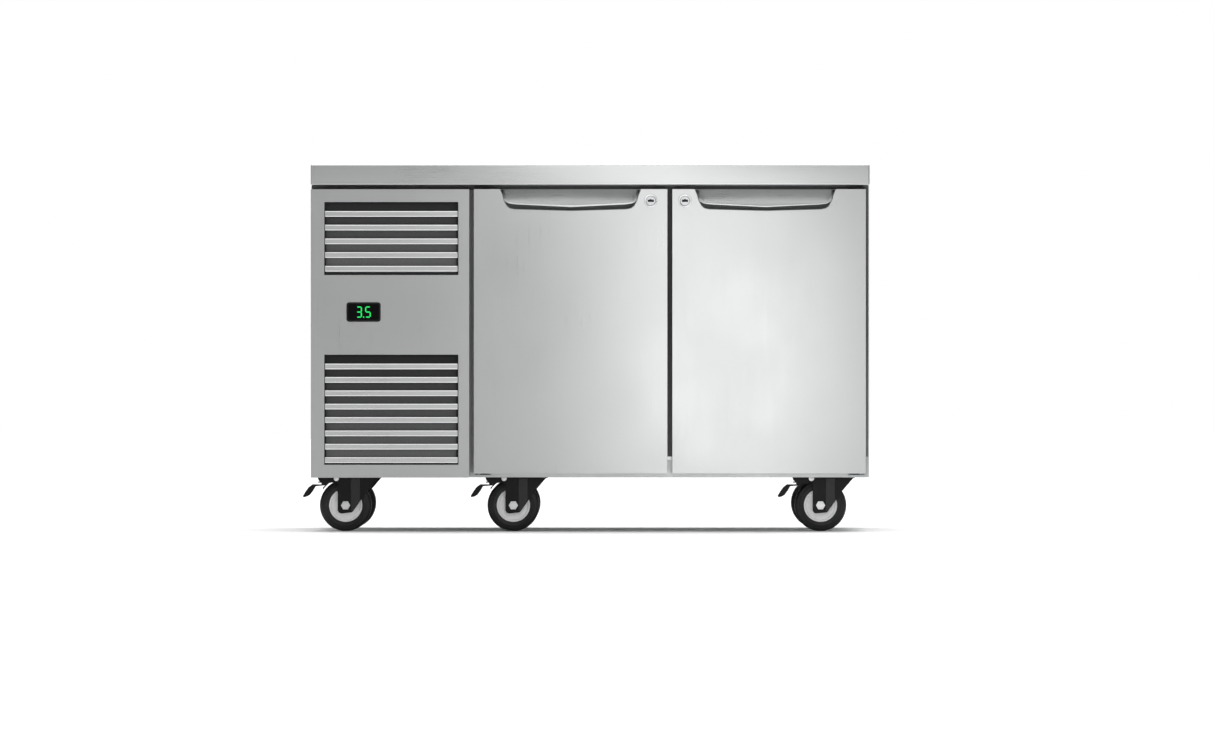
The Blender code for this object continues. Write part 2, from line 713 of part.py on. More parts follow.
def make_condenser():
    """The finned coil behind the lower grille, its end plates, the shroud and the fan."""
    low, high = CONDENSER_LOW, CONDENSER_HIGH
    end = Vector((CONDENSER_END, 0, 0))
    lap = Vector((0, 0, CONDENSER_END_LAP))
    coil = block("condenser_coil", low + end / 2 + lap, high - end / 2 - lap, ALUMINIUM)
    join_boxes(
        coil,
        (low, (low.x + CONDENSER_END, high.y, high.z)),
        ((high.x - CONDENSER_END, low.y, low.z), high),
    )
    back = high.y + GAP
    shroud = block(
        "condenser_fan_shroud", (low.x, back, low.z), (high.x, back + SHROUD_DEPTH, high.z), BLACK_STEEL,
    )
    cut_boxes(shroud, (
        (low.x + SHEET, back - THROUGH, low.z + SHEET),
        (high.x - SHEET, back + SHROUD_DEPTH - SHEET, high.z - SHEET),
    ))
    x, _, z = CONDENSER_FAN
    ring = CONDENSER_FAN_RADIUS + FAN_CLEARANCE
    plate = back + SHROUD_DEPTH
    cut(shroud, rod("shroud_ring", ring, (x, plate - SHEET - THROUGH, z), (x, plate + THROUGH, z), 32))
    arm = plate + FAN_WIDTH + 2 * FAN_CLEARANCE
    far = arm + MOTOR_ARM_SHEET
    reach = ring + MOTOR_ARM_LAP
    half = MOTOR_ARM_HEIGHT / 2
    join_boxes(shroud, ((x - reach, arm, z - half), (x + reach, far, z + half)), *(
        ((leg, plate - SHEET / 2, z - half), (leg + MOTOR_ARM_LEG, far, z + half))
        for leg in (x - reach, x + reach - MOTOR_ARM_LEG)
    ))
    start = arm + MOTOR_ARM_SHEET / 2
    join(shroud, rod("condenser_motor", MOTOR_RADIUS, (x, start, z), (x, arm + MOTOR_LENGTH, z), 20))
    make_fan("condenser_fan", CONDENSER_FAN, CONDENSER_FAN_RADIUS, Matrix.Rotation(math.pi / 2, 3, "X"))


def make_compressor():
    """A domed hermetic can on a foot plate with four rubber feet."""
    base = BASE_PLATE + SHEET + GAP + COMPRESSOR_FOOT
    x, y = LEFT + COMPRESSOR_LEFT, BACK - COMPRESSOR_BACK
    steps = 3
    arc = [math.pi / 2 * step / steps for step in range(steps + 1)]
    radius, dome = COMPRESSOR_RADIUS, COMPRESSOR_DOME
    upper = [(radius * math.sin(a), COMPRESSOR_HEIGHT - dome * (1 - math.cos(a))) for a in arc]
    lower = [(radius * math.cos(a), dome * (1 - math.sin(a))) for a in arc]
    can = turned("compressor", upper + lower, False, 20, BLACK_STEEL, (x, y, base), (0, 0, 0))
    half_x, half_y = FOOT_PLATE[0] / 2, FOOT_PLATE[1] / 2
    under, over = (base + level for level in FOOT_PLATE_LEVELS)
    join_boxes(can, ((x - half_x, y - half_y, under), (x + half_x, y + half_y, over)))
    for side in (-1, 1):
        for end in (-1, 1):
            bottom = Vector((x + side * (half_x - FOOT_MARGIN), y + end * (half_y - FOOT_MARGIN), 0))
            top = bottom + Vector((0, 0, (under + over) / 2))
            bottom.z = base - COMPRESSOR_FOOT
            join(can, rod(f"foot_{side}_{end}", FOOT_RADIUS, bottom, top, 12))


def make_evaporator():
    """The finned coil in the liner's pocket, its cover with the fan's motor, and the fan."""
    clear = SHEET + COIL_CLEARANCE
    low = POCKET_LINER_LOW + Vector((clear, clear, clear))
    high = Vector((low.x + COIL_THICKNESS, CAVITY_HIGH.y - clear, CAVITY_HIGH.z - clear))
    block("evaporator_coil", low, high, ALUMINIUM)
    wall = CAVITY_LOW.x + SHEET + GAP
    cover = block(
        "evaporator_cover",
        (wall, POCKET_LINER_LOW.y - COVER_LAP, POCKET_LINER_LOW.z - COVER_LAP),
        (wall + SHEET, CAVITY_HIGH.y - 2 * SHEET, CAVITY_HIGH.z - 2 * SHEET),
        WHITE_PLASTIC,
    )
    x, y, z = EVAPORATOR_FAN
    ring = EVAPORATOR_FAN_RADIUS + FAN_CLEARANCE
    cut(cover, rod("cover_ring", ring, (wall - THROUGH, y, z), (wall + SHEET + THROUGH, y, z), 32))
    front, back, floor = RETURN_MARGINS
    level = POCKET_LINER_LOW.z + floor
    cut(cover, vent_slots(
        "return_slots", RETURN_SLOTS, RETURN_PITCH, (wall - THROUGH, POCKET_LINER_LOW.y + front, level),
        (wall + SHEET + THROUGH, CAVITY_HIGH.y - back, level + RETURN_SLOT_HEIGHT),
    ))
    arm = x - FAN_WIDTH / 2 - EVAPORATOR_ARM_GAP
    reach = ring + MOTOR_ARM_LAP
    half = MOTOR_ARM_HEIGHT / 2
    far = wall + SHEET / 2
    join_boxes(cover, ((arm, y - reach, z - half), (arm + MOTOR_ARM_SHEET, y + reach, z + half)), *(
        ((arm, leg, z - half), (far, leg + MOTOR_ARM_LEG, z + half))
        for leg in (y - reach, y + reach - MOTOR_ARM_LEG)
    ))
    ends = (arm - MOTOR_ARM_SHEET, arm + EVAPORATOR_ARM_GAP - MOTOR_ARM_SHEET)
    join(cover, rod("evaporator_motor", EVAPORATOR_MOTOR_RADIUS, (ends[0], y, z), (ends[1], y, z), 20))
    make_fan("evaporator_fan", EVAPORATOR_FAN, EVAPORATOR_FAN_RADIUS, Matrix.Rotation(math.pi / 2, 3, "Y"))


# ---- Shelves -------------------------------------------------------------------------

def make_shelf(name, left, right):
    """A shelf of crossbars inside a flat rim."""
    low = Vector((left, SHELF_FRONT, SHELF_LEVEL + GAP))
    high = Vector((right, SHELF_BACK, SHELF_LEVEL + GAP + SHELF_BAR))
    shelf = block(name, low, high, CHROME)
    pitch = (right - left - SHELF_BAR) / SHELF_WIRES
    slots = []
    for number in range(SHELF_WIRES):
        start = low.x + SHELF_BAR + pitch * number
        slots.append((
            (start, low.y + SHELF_BAR, low.z - THROUGH),
            (start + pitch - SHELF_BAR, high.y - SHELF_BAR, high.z + THROUGH),
        ))
    cut(shelf, boxes(name + "_slots", slots))


def make_shelf_support(name, post_x, side):
    """Two posts and a runner angle. side is the way that it faces: 1, -1 or 0 for both."""
    bottom = CAVITY_LOW.z + SHEET + GAP
    top = CAVITY_HIGH.z - SHEET - GAP
    if side:
        near, far = sorted((post_x, post_x + side * POST_SHEET))
        reach = sorted((post_x, post_x + side * RUNNER_REACH))
        front_post = SHELF_FRONT + POST_INSET
    else:
        near, far = post_x - POST_SHEET / 2, post_x + POST_SHEET / 2
        reach = (post_x - CENTRE_RUNNER_REACH, post_x + CENTRE_RUNNER_REACH)
        front_post = BODY_FRONT + MULLION_DEPTH + POST_INSET
    end = REAR_POST + POST_WIDTH
    web = front_post + POST_WIDTH / 2
    web_end = end - POST_WIDTH / 8
    tread_end = end - POST_WIDTH / 4
    support = block(name, (near, front_post, bottom), (far, front_post + POST_WIDTH, top), STEEL)
    join_boxes(
        support,
        ((near, web, SHELF_LEVEL - RUNNER_HEIGHT), (far, web_end, SHELF_LEVEL)),
        ((near, REAR_POST, bottom), (far, end, top)),
        ((reach[0], front_post, SHELF_LEVEL - SHEET), (reach[1], tread_end, SHELF_LEVEL)),
    )


def make_shelves():
    """Two equal shelves, each beside the mullion, and the supports that they rest on."""
    near = MULLION_WIDTH / 2 + SHELF_MULLION_GAP
    far = min(MEETING - CAVITY_LOW.x, CAVITY_HIGH.x - MEETING) - SHELF_SIDE_GAP
    make_shelf("shelf_left", MEETING - far, MEETING - near)
    make_shelf("shelf_right", MEETING + near, MEETING + far)
    clear = SHEET + GAP + SHEET + GAP
    make_shelf_support("shelf_support_left", CAVITY_LOW.x + clear, 1)
    make_shelf_support("shelf_support_centre", MEETING, 0)
    make_shelf_support("shelf_support_right", CAVITY_HIGH.x - clear, -1)


# ---- Doors ---------------------------------------------------------------------------

def half_width(drop):
    """Half the pull cut-out's width at this drop below the door's top."""
    for (wide, start), (narrow, end) in zip(CUTOUT_HALF, CUTOUT_HALF[1:]):
        if drop <= end:
            return wide + (narrow - wide) * (drop - start) / (end - start)
    return 0.0


def cutout_mesh(name, centre):
    """The pull's recess, from in front of the door's face to its back wall."""
    above = [(CUTOUT_HALF[0][0], -THROUGH)]
    half = above + CUTOUT_HALF
    right = [(centre + x, DOOR_TOP - drop) for x, drop in half]
    left = [(centre - x, DOOR_TOP - drop) for x, drop in reversed(half[:-1])]
    return flat_plate(name, right + left, FACE + PULL_RECESS, FACE - THROUGH)


def make_pull(name, centre):
    """A pressed plate: a ledge at the top, then a scoop that curves out to the lip."""
    edge_x = [x for x, _ in LIP_HALF]
    straight = edge_x[1]
    edge_x += [straight / 3, straight * 2 / 3]
    spans = sorted({side * x for x in edge_x for side in (-1, 1)})
    widest = LIP_HALF[-1][0]
    top_drop = GAP + DOOR_SHEET / 2

    def lip_drop(x):
        for (x0, drop0), (x1, drop1) in zip(LIP_HALF, LIP_HALF[1:]):
            if abs(x) <= x1:
                return drop0 + (drop1 - drop0) * (abs(x) - x0) / (x1 - x0)
        return LIP_HALF[-1][1]

    bm = bmesh.new()
    grid = []
    for row in range(-1, PULL_ROWS + 1):
        across = []
        for x in spans:
            share = max(row, 0) / PULL_ROWS
            drop = top_drop + (lip_drop(x) - top_drop) * share
            scoop = 1 - math.cos(share * math.pi / 2)
            behind = PULL_TOP_SETBACK - (PULL_TOP_SETBACK + PULL_LIP_PROUD) * scoop
            if row < 0:
                behind = PULL_RECESS - 2 * GAP
            half = half_width(drop) - PULL_SIDE_GAP
            across.append(bm.verts.new((x / widest * half, behind, -drop)))
        grid.append(across)
    for upper, lower in zip(grid, grid[1:]):
        for a, b, c, d in zip(upper, upper[1:], lower[1:], lower):
            bm.faces.new((a, d, c, b))
    obj = place(name, mesh_of(name, bm), STEEL, (centre, FACE, DOOR_TOP))
    wall = obj.modifiers.new("Thickness", "SOLIDIFY")
    wall.thickness = DOOR_SHEET
    wall.offset = -1
    wall.use_even_offset = True
    smooth(obj)
    return obj


def make_lock(name, x, z):
    """The lock's barrel, which the key turns."""
    solid = rod(name, LOCK_RADIUS, (0, -LOCK_PROUD, 0), (0, LOCK_DEPTH, 0), 24)
    barrel = place(name, solid, CHROME, (x, FACE, z))
    smooth(barrel)
    width, height, deep = KEYWAY
    cut_boxes(barrel, (
        (x - width / 2, FACE - LOCK_PROUD - THROUGH, z - height / 2),
        (x + width / 2, FACE - LOCK_PROUD + deep, z + height / 2),
    ))
    return barrel


def hinge_bracket(name, x, side, level, up):
    """An angle on the body with the pin that the door turns on. up is 1 above the door."""
    away = BRACKET_DOOR_GAP
    near, far = sorted((level + up * away, level + up * (away + BRACKET_SHEET)))
    ends = sorted((x - side * BRACKET_END, x + side * (BRACKET_LENGTH - PIVOT_INSET)))
    back = BODY_FRONT - GAP
    bracket = block(
        name, (ends[0], FACE + BRACKET_FRONT_INSET, near), (ends[1], back, far), STEEL,
    )
    flange = sorted((level + up * (away + BRACKET_SHEET / 2), level - up * BRACKET_FLANGE))
    join_boxes(bracket, ((ends[0], back - BRACKET_SHEET, flange[0]), (ends[1], back, flange[1])))
    pin = sorted((level - up * PIN_ENGAGEMENT, level + up * (away + BRACKET_SHEET / 2)))
    y = FACE + PIVOT_INSET
    join(bracket, rod(name + "_pin", PIN_RADIUS, (x, y, pin[0]), (x, y, pin[1]), 16))


def make_door(side_name, left, hinge_side):
    """A foamed door with its gasket, pull and lock. hinge_side is -1 when hinged at the left."""
    right = left + DOOR_WIDTH
    hinge_x = (left if hinge_side < 0 else right) - hinge_side * PIVOT_INSET
    pull_x = FURNITURE_LINE + hinge_side * PULL_OFFSET
    lock_x = FURNITURE_LINE + hinge_side * LOCK_OFFSET
    lock_z = DOOR_TOP - LOCK_DROP
    low = Vector((left, FACE, DOOR_BOTTOM))
    high = Vector((right, DOOR_BACK, DOOR_TOP))
    sheet = Vector((DOOR_SHEET, DOOR_SHEET, DOOR_SHEET))
    skin = block(f"door_{side_name}_skin", low, high, STEEL)
    inside = high - sheet
    inside.y = high.y + THROUGH
    cut_boxes(skin, (low + sheet, inside))
    clear = sheet + Vector((GAP, GAP, GAP))
    core_high = high - clear
    core_high.y = DOOR_BACK
    core = block(f"door_{side_name}_core", low + clear, core_high, WHITE_PLASTIC)
    bore = PIN_RADIUS + PIN_CLEARANCE
    deep = PIN_ENGAGEMENT + BORE_SPARE
    y = FACE + PIVOT_INSET
    pin_bores = [(DOOR_TOP - deep, DOOR_TOP + THROUGH), (DOOR_BOTTOM - THROUGH, DOOR_BOTTOM + deep)]
    barrel_end = FACE + LOCK_DEPTH + BORE_SPARE
    for piece in (skin, core):
        label = piece.name
        cut(piece, cutout_mesh(label + "_recess", pull_x))
        for number, (start, end) in enumerate(pin_bores):
            cut(piece, rod(f"{label}_pin_bore_{number}", bore, (hinge_x, y, start), (hinge_x, y, end), 16))
        cut(piece, rod(
            label + "_lock_bore", LOCK_RADIUS + LOCK_CLEARANCE,
            (lock_x, FACE - THROUGH, lock_z), (lock_x, barrel_end, lock_z), 24,
        ))
    inset = Vector((GASKET_INSET, 0, GASKET_INSET))
    width = Vector((GASKET_WIDTH, 0, GASKET_WIDTH))
    gasket_low = Vector((left, DOOR_BACK + GAP, DOOR_BOTTOM)) + inset
    gasket_high = Vector((right, BODY_FRONT - GAP, DOOR_TOP)) - inset
    gasket = block(f"door_{side_name}_gasket", gasket_low, gasket_high, RUBBER)
    past = Vector((0, THROUGH, 0))
    cut_boxes(gasket, (gasket_low + width - past, gasket_high - width + past))
    handle = make_pull(f"door_{side_name}_handle", pull_x)
    lock = make_lock(f"lock_{side_name}", lock_x, lock_z)
    axis = pivot(f"door_{side_name}_hinge", (hinge_x, FACE + PIVOT_INSET, 0))
    hang(axis, skin, core, gasket, handle, lock)
    hinge_bracket(f"hinge_{side_name}_top", hinge_x, -hinge_side, DOOR_TOP, 1)
    hinge_bracket(f"hinge_{side_name}_bottom", hinge_x, -hinge_side, DOOR_BOTTOM, -1)


# ---- Castors -------------------------------------------------------------------------

def make_castor_rail(name, x, rows):
    """A channel under the base with a castor's mounting plate and race at each end."""
    half = RAIL_WIDTH / 2
    front, back = BODY_FRONT + SHEET + RAIL_END_GAP, BACK - SHEET - RAIL_END_GAP
    top = CASTOR_HEIGHT + RAIL_HEIGHT
    web = CASTOR_HEIGHT + RAIL_SHEET
    rail = block(name, (x - half, front, CASTOR_HEIGHT), (x + half, back, top), GALVANISED)
    cut_boxes(rail, (
        (x - half + RAIL_SHEET, front - THROUGH, web),
        (x + half - RAIL_SHEET, back + THROUGH, top + THROUGH),
    ))
    half_x, half_y = PLATE_SIZE[0] / 2, PLATE_SIZE[1] / 2
    plate = CASTOR_HEIGHT - PLATE_SHEET
    sunk = plate + PLATE_SHEET / 2
    for number, y in enumerate(rows):
        join_boxes(rail, (
            (x - half_x, y - half_y, plate), (x + half_x, y + half_y, CASTOR_HEIGHT + RAIL_SHEET / 2),
        ))
        race = f"{name}_race_{number}"
        join(rail, rod(race, RACE_RADIUS, (x, y, plate - RACE_HEIGHT), (x, y, sunk), 18))


def fork_outline(wheel_x, braked):
    """One leg's outline. A braked fork has an ear for the brake's pin."""
    axle_end = [(-0.0190, -0.0206, 0.008), (0.0160, -0.0170, 0.006), (0.0350, 0.0100, 0.010)]
    crown_end = [(0.0518, -0.0385, 0.0), (0.0826, -0.0025, 0.0), (0.0826, 0.0, 0.0)]
    if braked:
        crown_end += [(-0.0295, 0.0, 0.004), (-0.0295, -0.0165, 0.005), (-0.0190, -0.0195, 0.0)]
    else:
        crown_end += [(-0.0030, 0.0, 0.0), (-0.0190, -0.0125, 0.006)]
    outline = [(wheel_x + x, WHEEL_CENTRE_Z + z) for x, z, _ in axle_end]
    outline += [(wheel_x + x, LEG_TOP + z) for x, z, _ in crown_end]
    return rounded(outline, [radius for *_, radius in axle_end + crown_end], 2)


def make_fork(name, x, y, braked):
    """Two legs, the crown that turns on the race, and the wheel's axle bolt."""
    wheel_x = x - CASTOR_TRAIL
    crown = rod(name, CROWN_RADIUS, (0, 0, CROWN_BOTTOM), (0, 0, CROWN_TOP), 24)
    fork = place(name, crown, BLACK_STEEL, (x, y, 0))
    outline = fork_outline(wheel_x, braked)
    for side in (-1, 1):
        near, far = sorted((y + side * FORK_INNER, y + side * FORK_OUTER))
        join(fork, flat_plate(f"{name}_leg_{side}", outline, far, near))
    z = WHEEL_CENTRE_Z
    reach = FORK_OUTER + AXLE_REACH
    join(fork, rod(name + "_axle", AXLE_RADIUS, (wheel_x, y - reach, z), (wheel_x, y + reach, z), 12))
    sunk = FORK_OUTER - HEAD_LAP
    for side in (-1, 1):
        start, end = y + side * sunk, y + side * (sunk + AXLE_HEAD)
        join(fork, rod(f"{name}_head_{side}", AXLE_HEAD_RADIUS, (wheel_x, start, z), (wheel_x, end, z), 6))
    if braked:
        pin_x, pin_z = wheel_x + BRAKE_PIVOT[0], LEG_TOP + BRAKE_PIVOT[1]
        outer = FORK_OUTER + BRAKE_SIDE_GAP + BRAKE_CHEEK + GAP
        for side in (-1, 1):
            root, edge, middle, cap = (
                (pin_x, y + side * at, pin_z)
                for at in (sunk, outer, outer + BRAKE_HEAD / 2, outer + BRAKE_HEAD)
            )
            join(
                fork,
                rod(f"{name}_pin_{side}", BRAKE_PIN_RADIUS, root, middle, 10),
                rod(f"{name}_cap_{side}", BRAKE_HEAD_RADIUS, edge, cap, 12),
            )
    return fork


def make_wheel(label, x, y):
    """A zinc hub and the rubber tyre pressed round it."""
    centre = (x - CASTOR_TRAIL, y, WHEEL_CENTRE_Z)
    turn = (math.pi / 2, math.pi / WHEEL_SIDES, 0)
    half = TYRE_WIDTH / 2
    bore = HUB_RADIUS + GAP
    shoulder, flat = WHEEL_RADIUS - TREAD_CHAMFER[0], half - TREAD_CHAMFER[1]
    tread = [
        (shoulder, half), (WHEEL_RADIUS, flat), (WHEEL_RADIUS, -flat),
        (shoulder, -half), (bore, -half), (bore, half),
    ]
    tyre = turned(f"castor_tyre_{label}", tread, True, WHEEL_SIDES, RUBBER, centre, turn)
    half = HUB_WIDTH / 2
    rim = half - HUB_RIM_SETBACK
    bore = AXLE_RADIUS + AXLE_CLEARANCE
    disc = [
        (HUB_RADIUS, rim), (HUB_RADIUS, -rim), (HUB_BOSS, -half),
        (bore, -half), (bore, half), (HUB_BOSS, half),
    ]
    hub = turned(f"castor_hub_{label}", disc, True, WHEEL_SIDES, ZINC, centre, turn)
    return tyre, hub


def make_brake(name, x, y):
    """The brake lever: two cheeks, a web with the shoe, and the pedal."""
    wheel_x = x - CASTOR_TRAIL

    def at(points):
        return [(wheel_x + px, LEG_TOP + pz) for px, pz in points]

    inner = FORK_OUTER + BRAKE_SIDE_GAP
    outer = inner + BRAKE_CHEEK
    wide = inner + BRAKE_CHEEK / 2
    cheek = at([
        (-0.0670, -0.0057), (-0.0650, -0.0125), (-0.0600, -0.0165), (-0.0570, -0.0225), (-0.0500, -0.0240),
        (-0.0440, -0.0205), (-0.0340, -0.0177), (-0.0200, -0.0175), (-0.0140, -0.0125), (-0.0135, -0.0065),
        (-0.0180, -0.0010), (-0.0260, -0.0010), (-0.0310, -0.0057),
    ])
    lever = place(name, boxes(name, [(
        (-0.0440, -wide, -0.0180), (-0.0155, wide, -0.0155),
    )]), BLACK_STEEL, (wheel_x + BRAKE_PIVOT[0], y, LEG_TOP))
    for side in (-1, 1):
        near, far = sorted((y + side * inner, y + side * outer))
        join(lever, flat_plate(f"{name}_cheek_{side}", cheek, far, near))
    arc = [math.radians(angle) for angle in range(SHOE_ANGLES[0], SHOE_ANGLES[1] + 1, 5)]
    face = WHEEL_RADIUS + SHOE_GAP
    band = [(wheel_x + face * math.cos(a), WHEEL_CENTRE_Z + face * math.sin(a)) for a in arc]
    top = face + SHOE_SHEET
    band += [(wheel_x + top * math.cos(a), WHEEL_CENTRE_Z + top * math.sin(a)) for a in reversed(arc)]
    join(lever, flat_plate(name + "_shoe", band, y + SHOE_WIDTH / 2, y - SHOE_WIDTH / 2))
    pedal = at([
        (-0.0485, -0.0210), (-0.0620, -0.0224), (-0.0802, -0.0222), (-0.0893, -0.0292), (-0.0958, -0.0383),
        (-PEDAL_REACH, -0.0500), (-0.1010, -0.0532), (-0.0932, -0.0513), (-0.0867, -0.0474),
        (-0.0789, -0.0370), (-0.0731, -0.0266), (-0.0600, -0.0254), (-0.0485, -0.0245),
    ])
    join(lever, flat_plate(name + "_pedal", pedal, y + wide, y - wide))
    under = at([
        (-0.0795, -0.0247), (-0.0872, -0.0307), (-0.0937, -0.0398), (-0.1004, -0.0520), (-0.0990, -0.0575),
        (-0.0700, -0.0575), (-0.0690, -0.0247),
    ])
    inside = wide - PEDAL_SHEET
    cut(lever, flat_plate(name + "_hollow", under, y + inside, y - inside))
    pin_x, pin_z = wheel_x + BRAKE_PIVOT[0], LEG_TOP + BRAKE_PIVOT[1]
    hole = BRAKE_PIN_RADIUS + PIN_CLEARANCE
    past = outer + THROUGH
    cut(lever, rod(name + "_hole", hole, (pin_x, y - past, pin_z), (pin_x, y + past, pin_z), 12))
    return lever


def make_castors():
    rows = {"front": FRONT + CASTOR_FRONT_SETBACK, "rear": BACK - CASTOR_BACK_SETBACK}
    columns = {"left": LEFT + CASTOR_LEFT, "middle": LEFT + CASTOR_MIDDLE, "right": RIGHT - CASTOR_RIGHT}
    for column, x in columns.items():
        make_castor_rail(f"castor_rail_{column}", x, rows.values())
        for row, y in rows.items():
            label = f"{row}_{column}"
            braked = row == "front"
            swivel = pivot(f"swivel_{label}", (x, y, CROWN_TOP))
            hang(swivel, make_fork(f"castor_fork_{label}", x, y, braked))
            axle = pivot(f"axle_{label}", (x - CASTOR_TRAIL, y, WHEEL_CENTRE_Z))
            hang(axle, *make_wheel(label, x, y))
            if braked:
                where = (x - CASTOR_TRAIL + BRAKE_PIVOT[0], y, LEG_TOP + BRAKE_PIVOT[1])
                brake = pivot(f"brake_pivot_{column}", where)
                hang(brake, make_brake(f"brake_pedal_{column}", x, y))


# ---- Assembly ------------------------------------------------------------------------

empty_scene()
PARTS = new_collection("under_counter_fridge")
CUTTERS = new_collection("cutters")
STEEL = finish("brushed_steel", (0.62, 0.62, 0.62), 0.35, 1.0)
CHROME = finish("chromed_steel", (0.80, 0.80, 0.80), 0.15, 1.0)
GALVANISED = finish("galvanised_steel", (0.55, 0.56, 0.58), 0.50, 1.0)
BLACK_STEEL = finish("black_steel", (0.020, 0.020, 0.022), 0.45, 0.0)
ZINC = finish("zinc_casting", (0.70, 0.71, 0.72), 0.40, 1.0)
ALUMINIUM = finish("aluminium_fins", (0.65, 0.66, 0.68), 0.45, 1.0)
RUBBER = finish("black_rubber", (0.025, 0.025, 0.025), 0.80, 0.0)
BLACK_PLASTIC = finish("black_plastic", (0.010, 0.010, 0.010), 0.25, 0.0)
WHITE_PLASTIC = finish("white_plastic", (0.75, 0.75, 0.74), 0.45, 0.0)
FOAM = finish("polyurethane_foam", (0.70, 0.62, 0.40), 0.90, 0.0)

make_worktop()
make_outer_casing()
make_left_side_panel()
make_insulation()
make_liner()
make_mullion()
make_service_panel()
make_grille("upper_grille", UPPER_GRILLE, UPPER_BLADE_PITCH)
make_grille("lower_grille", LOWER_GRILLE, LOWER_BLADE_PITCH)
make_controller()
make_condenser()
make_compressor()
make_evaporator()
make_shelves()
make_door("left", DOORS_LEFT, -1)
make_door("right", DOORS_LEFT + DOOR_WIDTH + DOOR_REVEAL, 1)
make_castors()
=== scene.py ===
"""The finished looks of a two-door under counter fridge: sheet steel, trim, castors and inside.

Units are metres, +Z is up and the front faces -Y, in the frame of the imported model."""

import json
import math

import bmesh
import bpy
from mathutils import Matrix, Vector


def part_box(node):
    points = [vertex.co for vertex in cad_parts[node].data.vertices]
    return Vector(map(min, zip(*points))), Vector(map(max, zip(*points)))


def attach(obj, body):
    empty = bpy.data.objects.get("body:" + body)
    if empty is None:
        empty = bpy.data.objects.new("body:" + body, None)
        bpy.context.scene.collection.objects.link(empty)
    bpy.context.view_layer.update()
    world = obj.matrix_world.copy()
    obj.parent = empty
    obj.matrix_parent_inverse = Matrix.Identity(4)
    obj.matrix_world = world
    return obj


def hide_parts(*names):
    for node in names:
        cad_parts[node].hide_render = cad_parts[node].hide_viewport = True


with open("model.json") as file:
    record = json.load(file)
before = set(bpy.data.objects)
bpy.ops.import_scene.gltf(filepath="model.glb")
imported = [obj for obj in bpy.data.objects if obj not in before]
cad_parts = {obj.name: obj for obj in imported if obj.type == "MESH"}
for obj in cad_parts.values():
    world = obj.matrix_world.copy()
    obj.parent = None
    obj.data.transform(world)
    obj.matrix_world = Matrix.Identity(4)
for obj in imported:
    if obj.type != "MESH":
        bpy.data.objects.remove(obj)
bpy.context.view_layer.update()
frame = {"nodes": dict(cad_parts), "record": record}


# ---- Casing --------------------------------------------------------------------------
# The fridge's body: folded stainless sheet, duller than the front. Pan-head screws hold the
# left side and the back, and both have slots for the machine's air.

def colour(code):
    """An sRGB hex value as linear light."""
    parts = [int(code[start:start + 2], 16) / 255 for start in (1, 3, 5)]
    return (*(v / 12.92 if v <= 0.04045 else ((v + 0.055) / 1.055) ** 2.4 for v in parts), 1.0)


def add_node(tree, kind, settings=None, values=None, links=None):
    """One node with its settings, its own values and the sockets that feed it."""
    made = tree.nodes.new(kind)
    for name, value in (settings or {}).items():
        setattr(made, name, value)
    feed(tree, made, values or {}, links or {})
    return made


def new_material(name):
    """A material, its node tree, its shader and the socket that gives places on the object."""
    made = bpy.data.materials.new(name)
    made.use_nodes = True
    place = add_node(made.node_tree, "ShaderNodeTexCoord").outputs["Object"]
    return made, made.node_tree, made.node_tree.nodes["Principled BSDF"], place


def feed(tree, node, values, links):
    """Sets a node's own values and links the sockets that feed it."""
    for socket, value in values.items():
        node.inputs[socket].default_value = value
    for socket, source in links.items():
        tree.links.new(node.inputs[socket], source)


def brushed_steel(name, tint, grain, roughness):
    """Cold-rolled 304 stainless with a No. 4 belt finish: a soft sheen with fine straight
    lines, and faint clouds where it has been wiped. The belt's lines are 0.1 mm apart. They
    are drawn 1 mm apart, as less doesn't show. grain is their repeats a metre along X, Y and Z."""
    made, tree, shader, place = new_material(name)
    drawn_out = add_node(tree, "ShaderNodeMapping", values={"Scale": grain}, links={"Vector": place})
    lines = add_node(tree, "ShaderNodeTexNoise", values={
        "Scale": 1.0, "Detail": 4.0, "Roughness": 0.6,
    }, links={"Vector": drawn_out.outputs["Vector"]})
    clouds = add_node(tree, "ShaderNodeTexNoise", values={"Scale": 5.0, "Detail": 2.0}, links={
        "Vector": place,
    })
    sheen = add_node(tree, "ShaderNodeMapRange", values={
        "From Min": 0.3, "From Max": 0.7, "To Min": roughness - 0.03, "To Max": roughness + 0.03,
    }, links={"Value": lines.outputs["Fac"]})
    wiped = add_node(tree, "ShaderNodeMapRange", values={
        "From Min": 0.35, "From Max": 0.65, "To Min": -0.02, "To Max": 0.02,
    }, links={"Value": clouds.outputs["Fac"]})
    total = add_node(tree, "ShaderNodeMath", {"operation": "ADD"}, links={
        0: sheen.outputs["Result"], 1: wiped.outputs["Result"],
    })
    dark, light = colour(tint), [min(1.0, channel * 1.06) for channel in colour(tint)[:3]] + [1.0]
    base = add_node(tree, "ShaderNodeMix", {"data_type": "RGBA"}, {6: dark, 7: light}, {
        0: lines.outputs["Fac"],
    })
    bump = add_node(tree, "ShaderNodeBump", values={"Strength": 0.04, "Distance": 0.0002}, links={
        "Height": lines.outputs["Fac"],
    })
    feed(tree, shader, {"Metallic": 1.0}, {
        "Base Color": base.outputs[2], "Roughness": total.outputs["Value"], "Normal": bump.outputs["Normal"],
    })
    return made


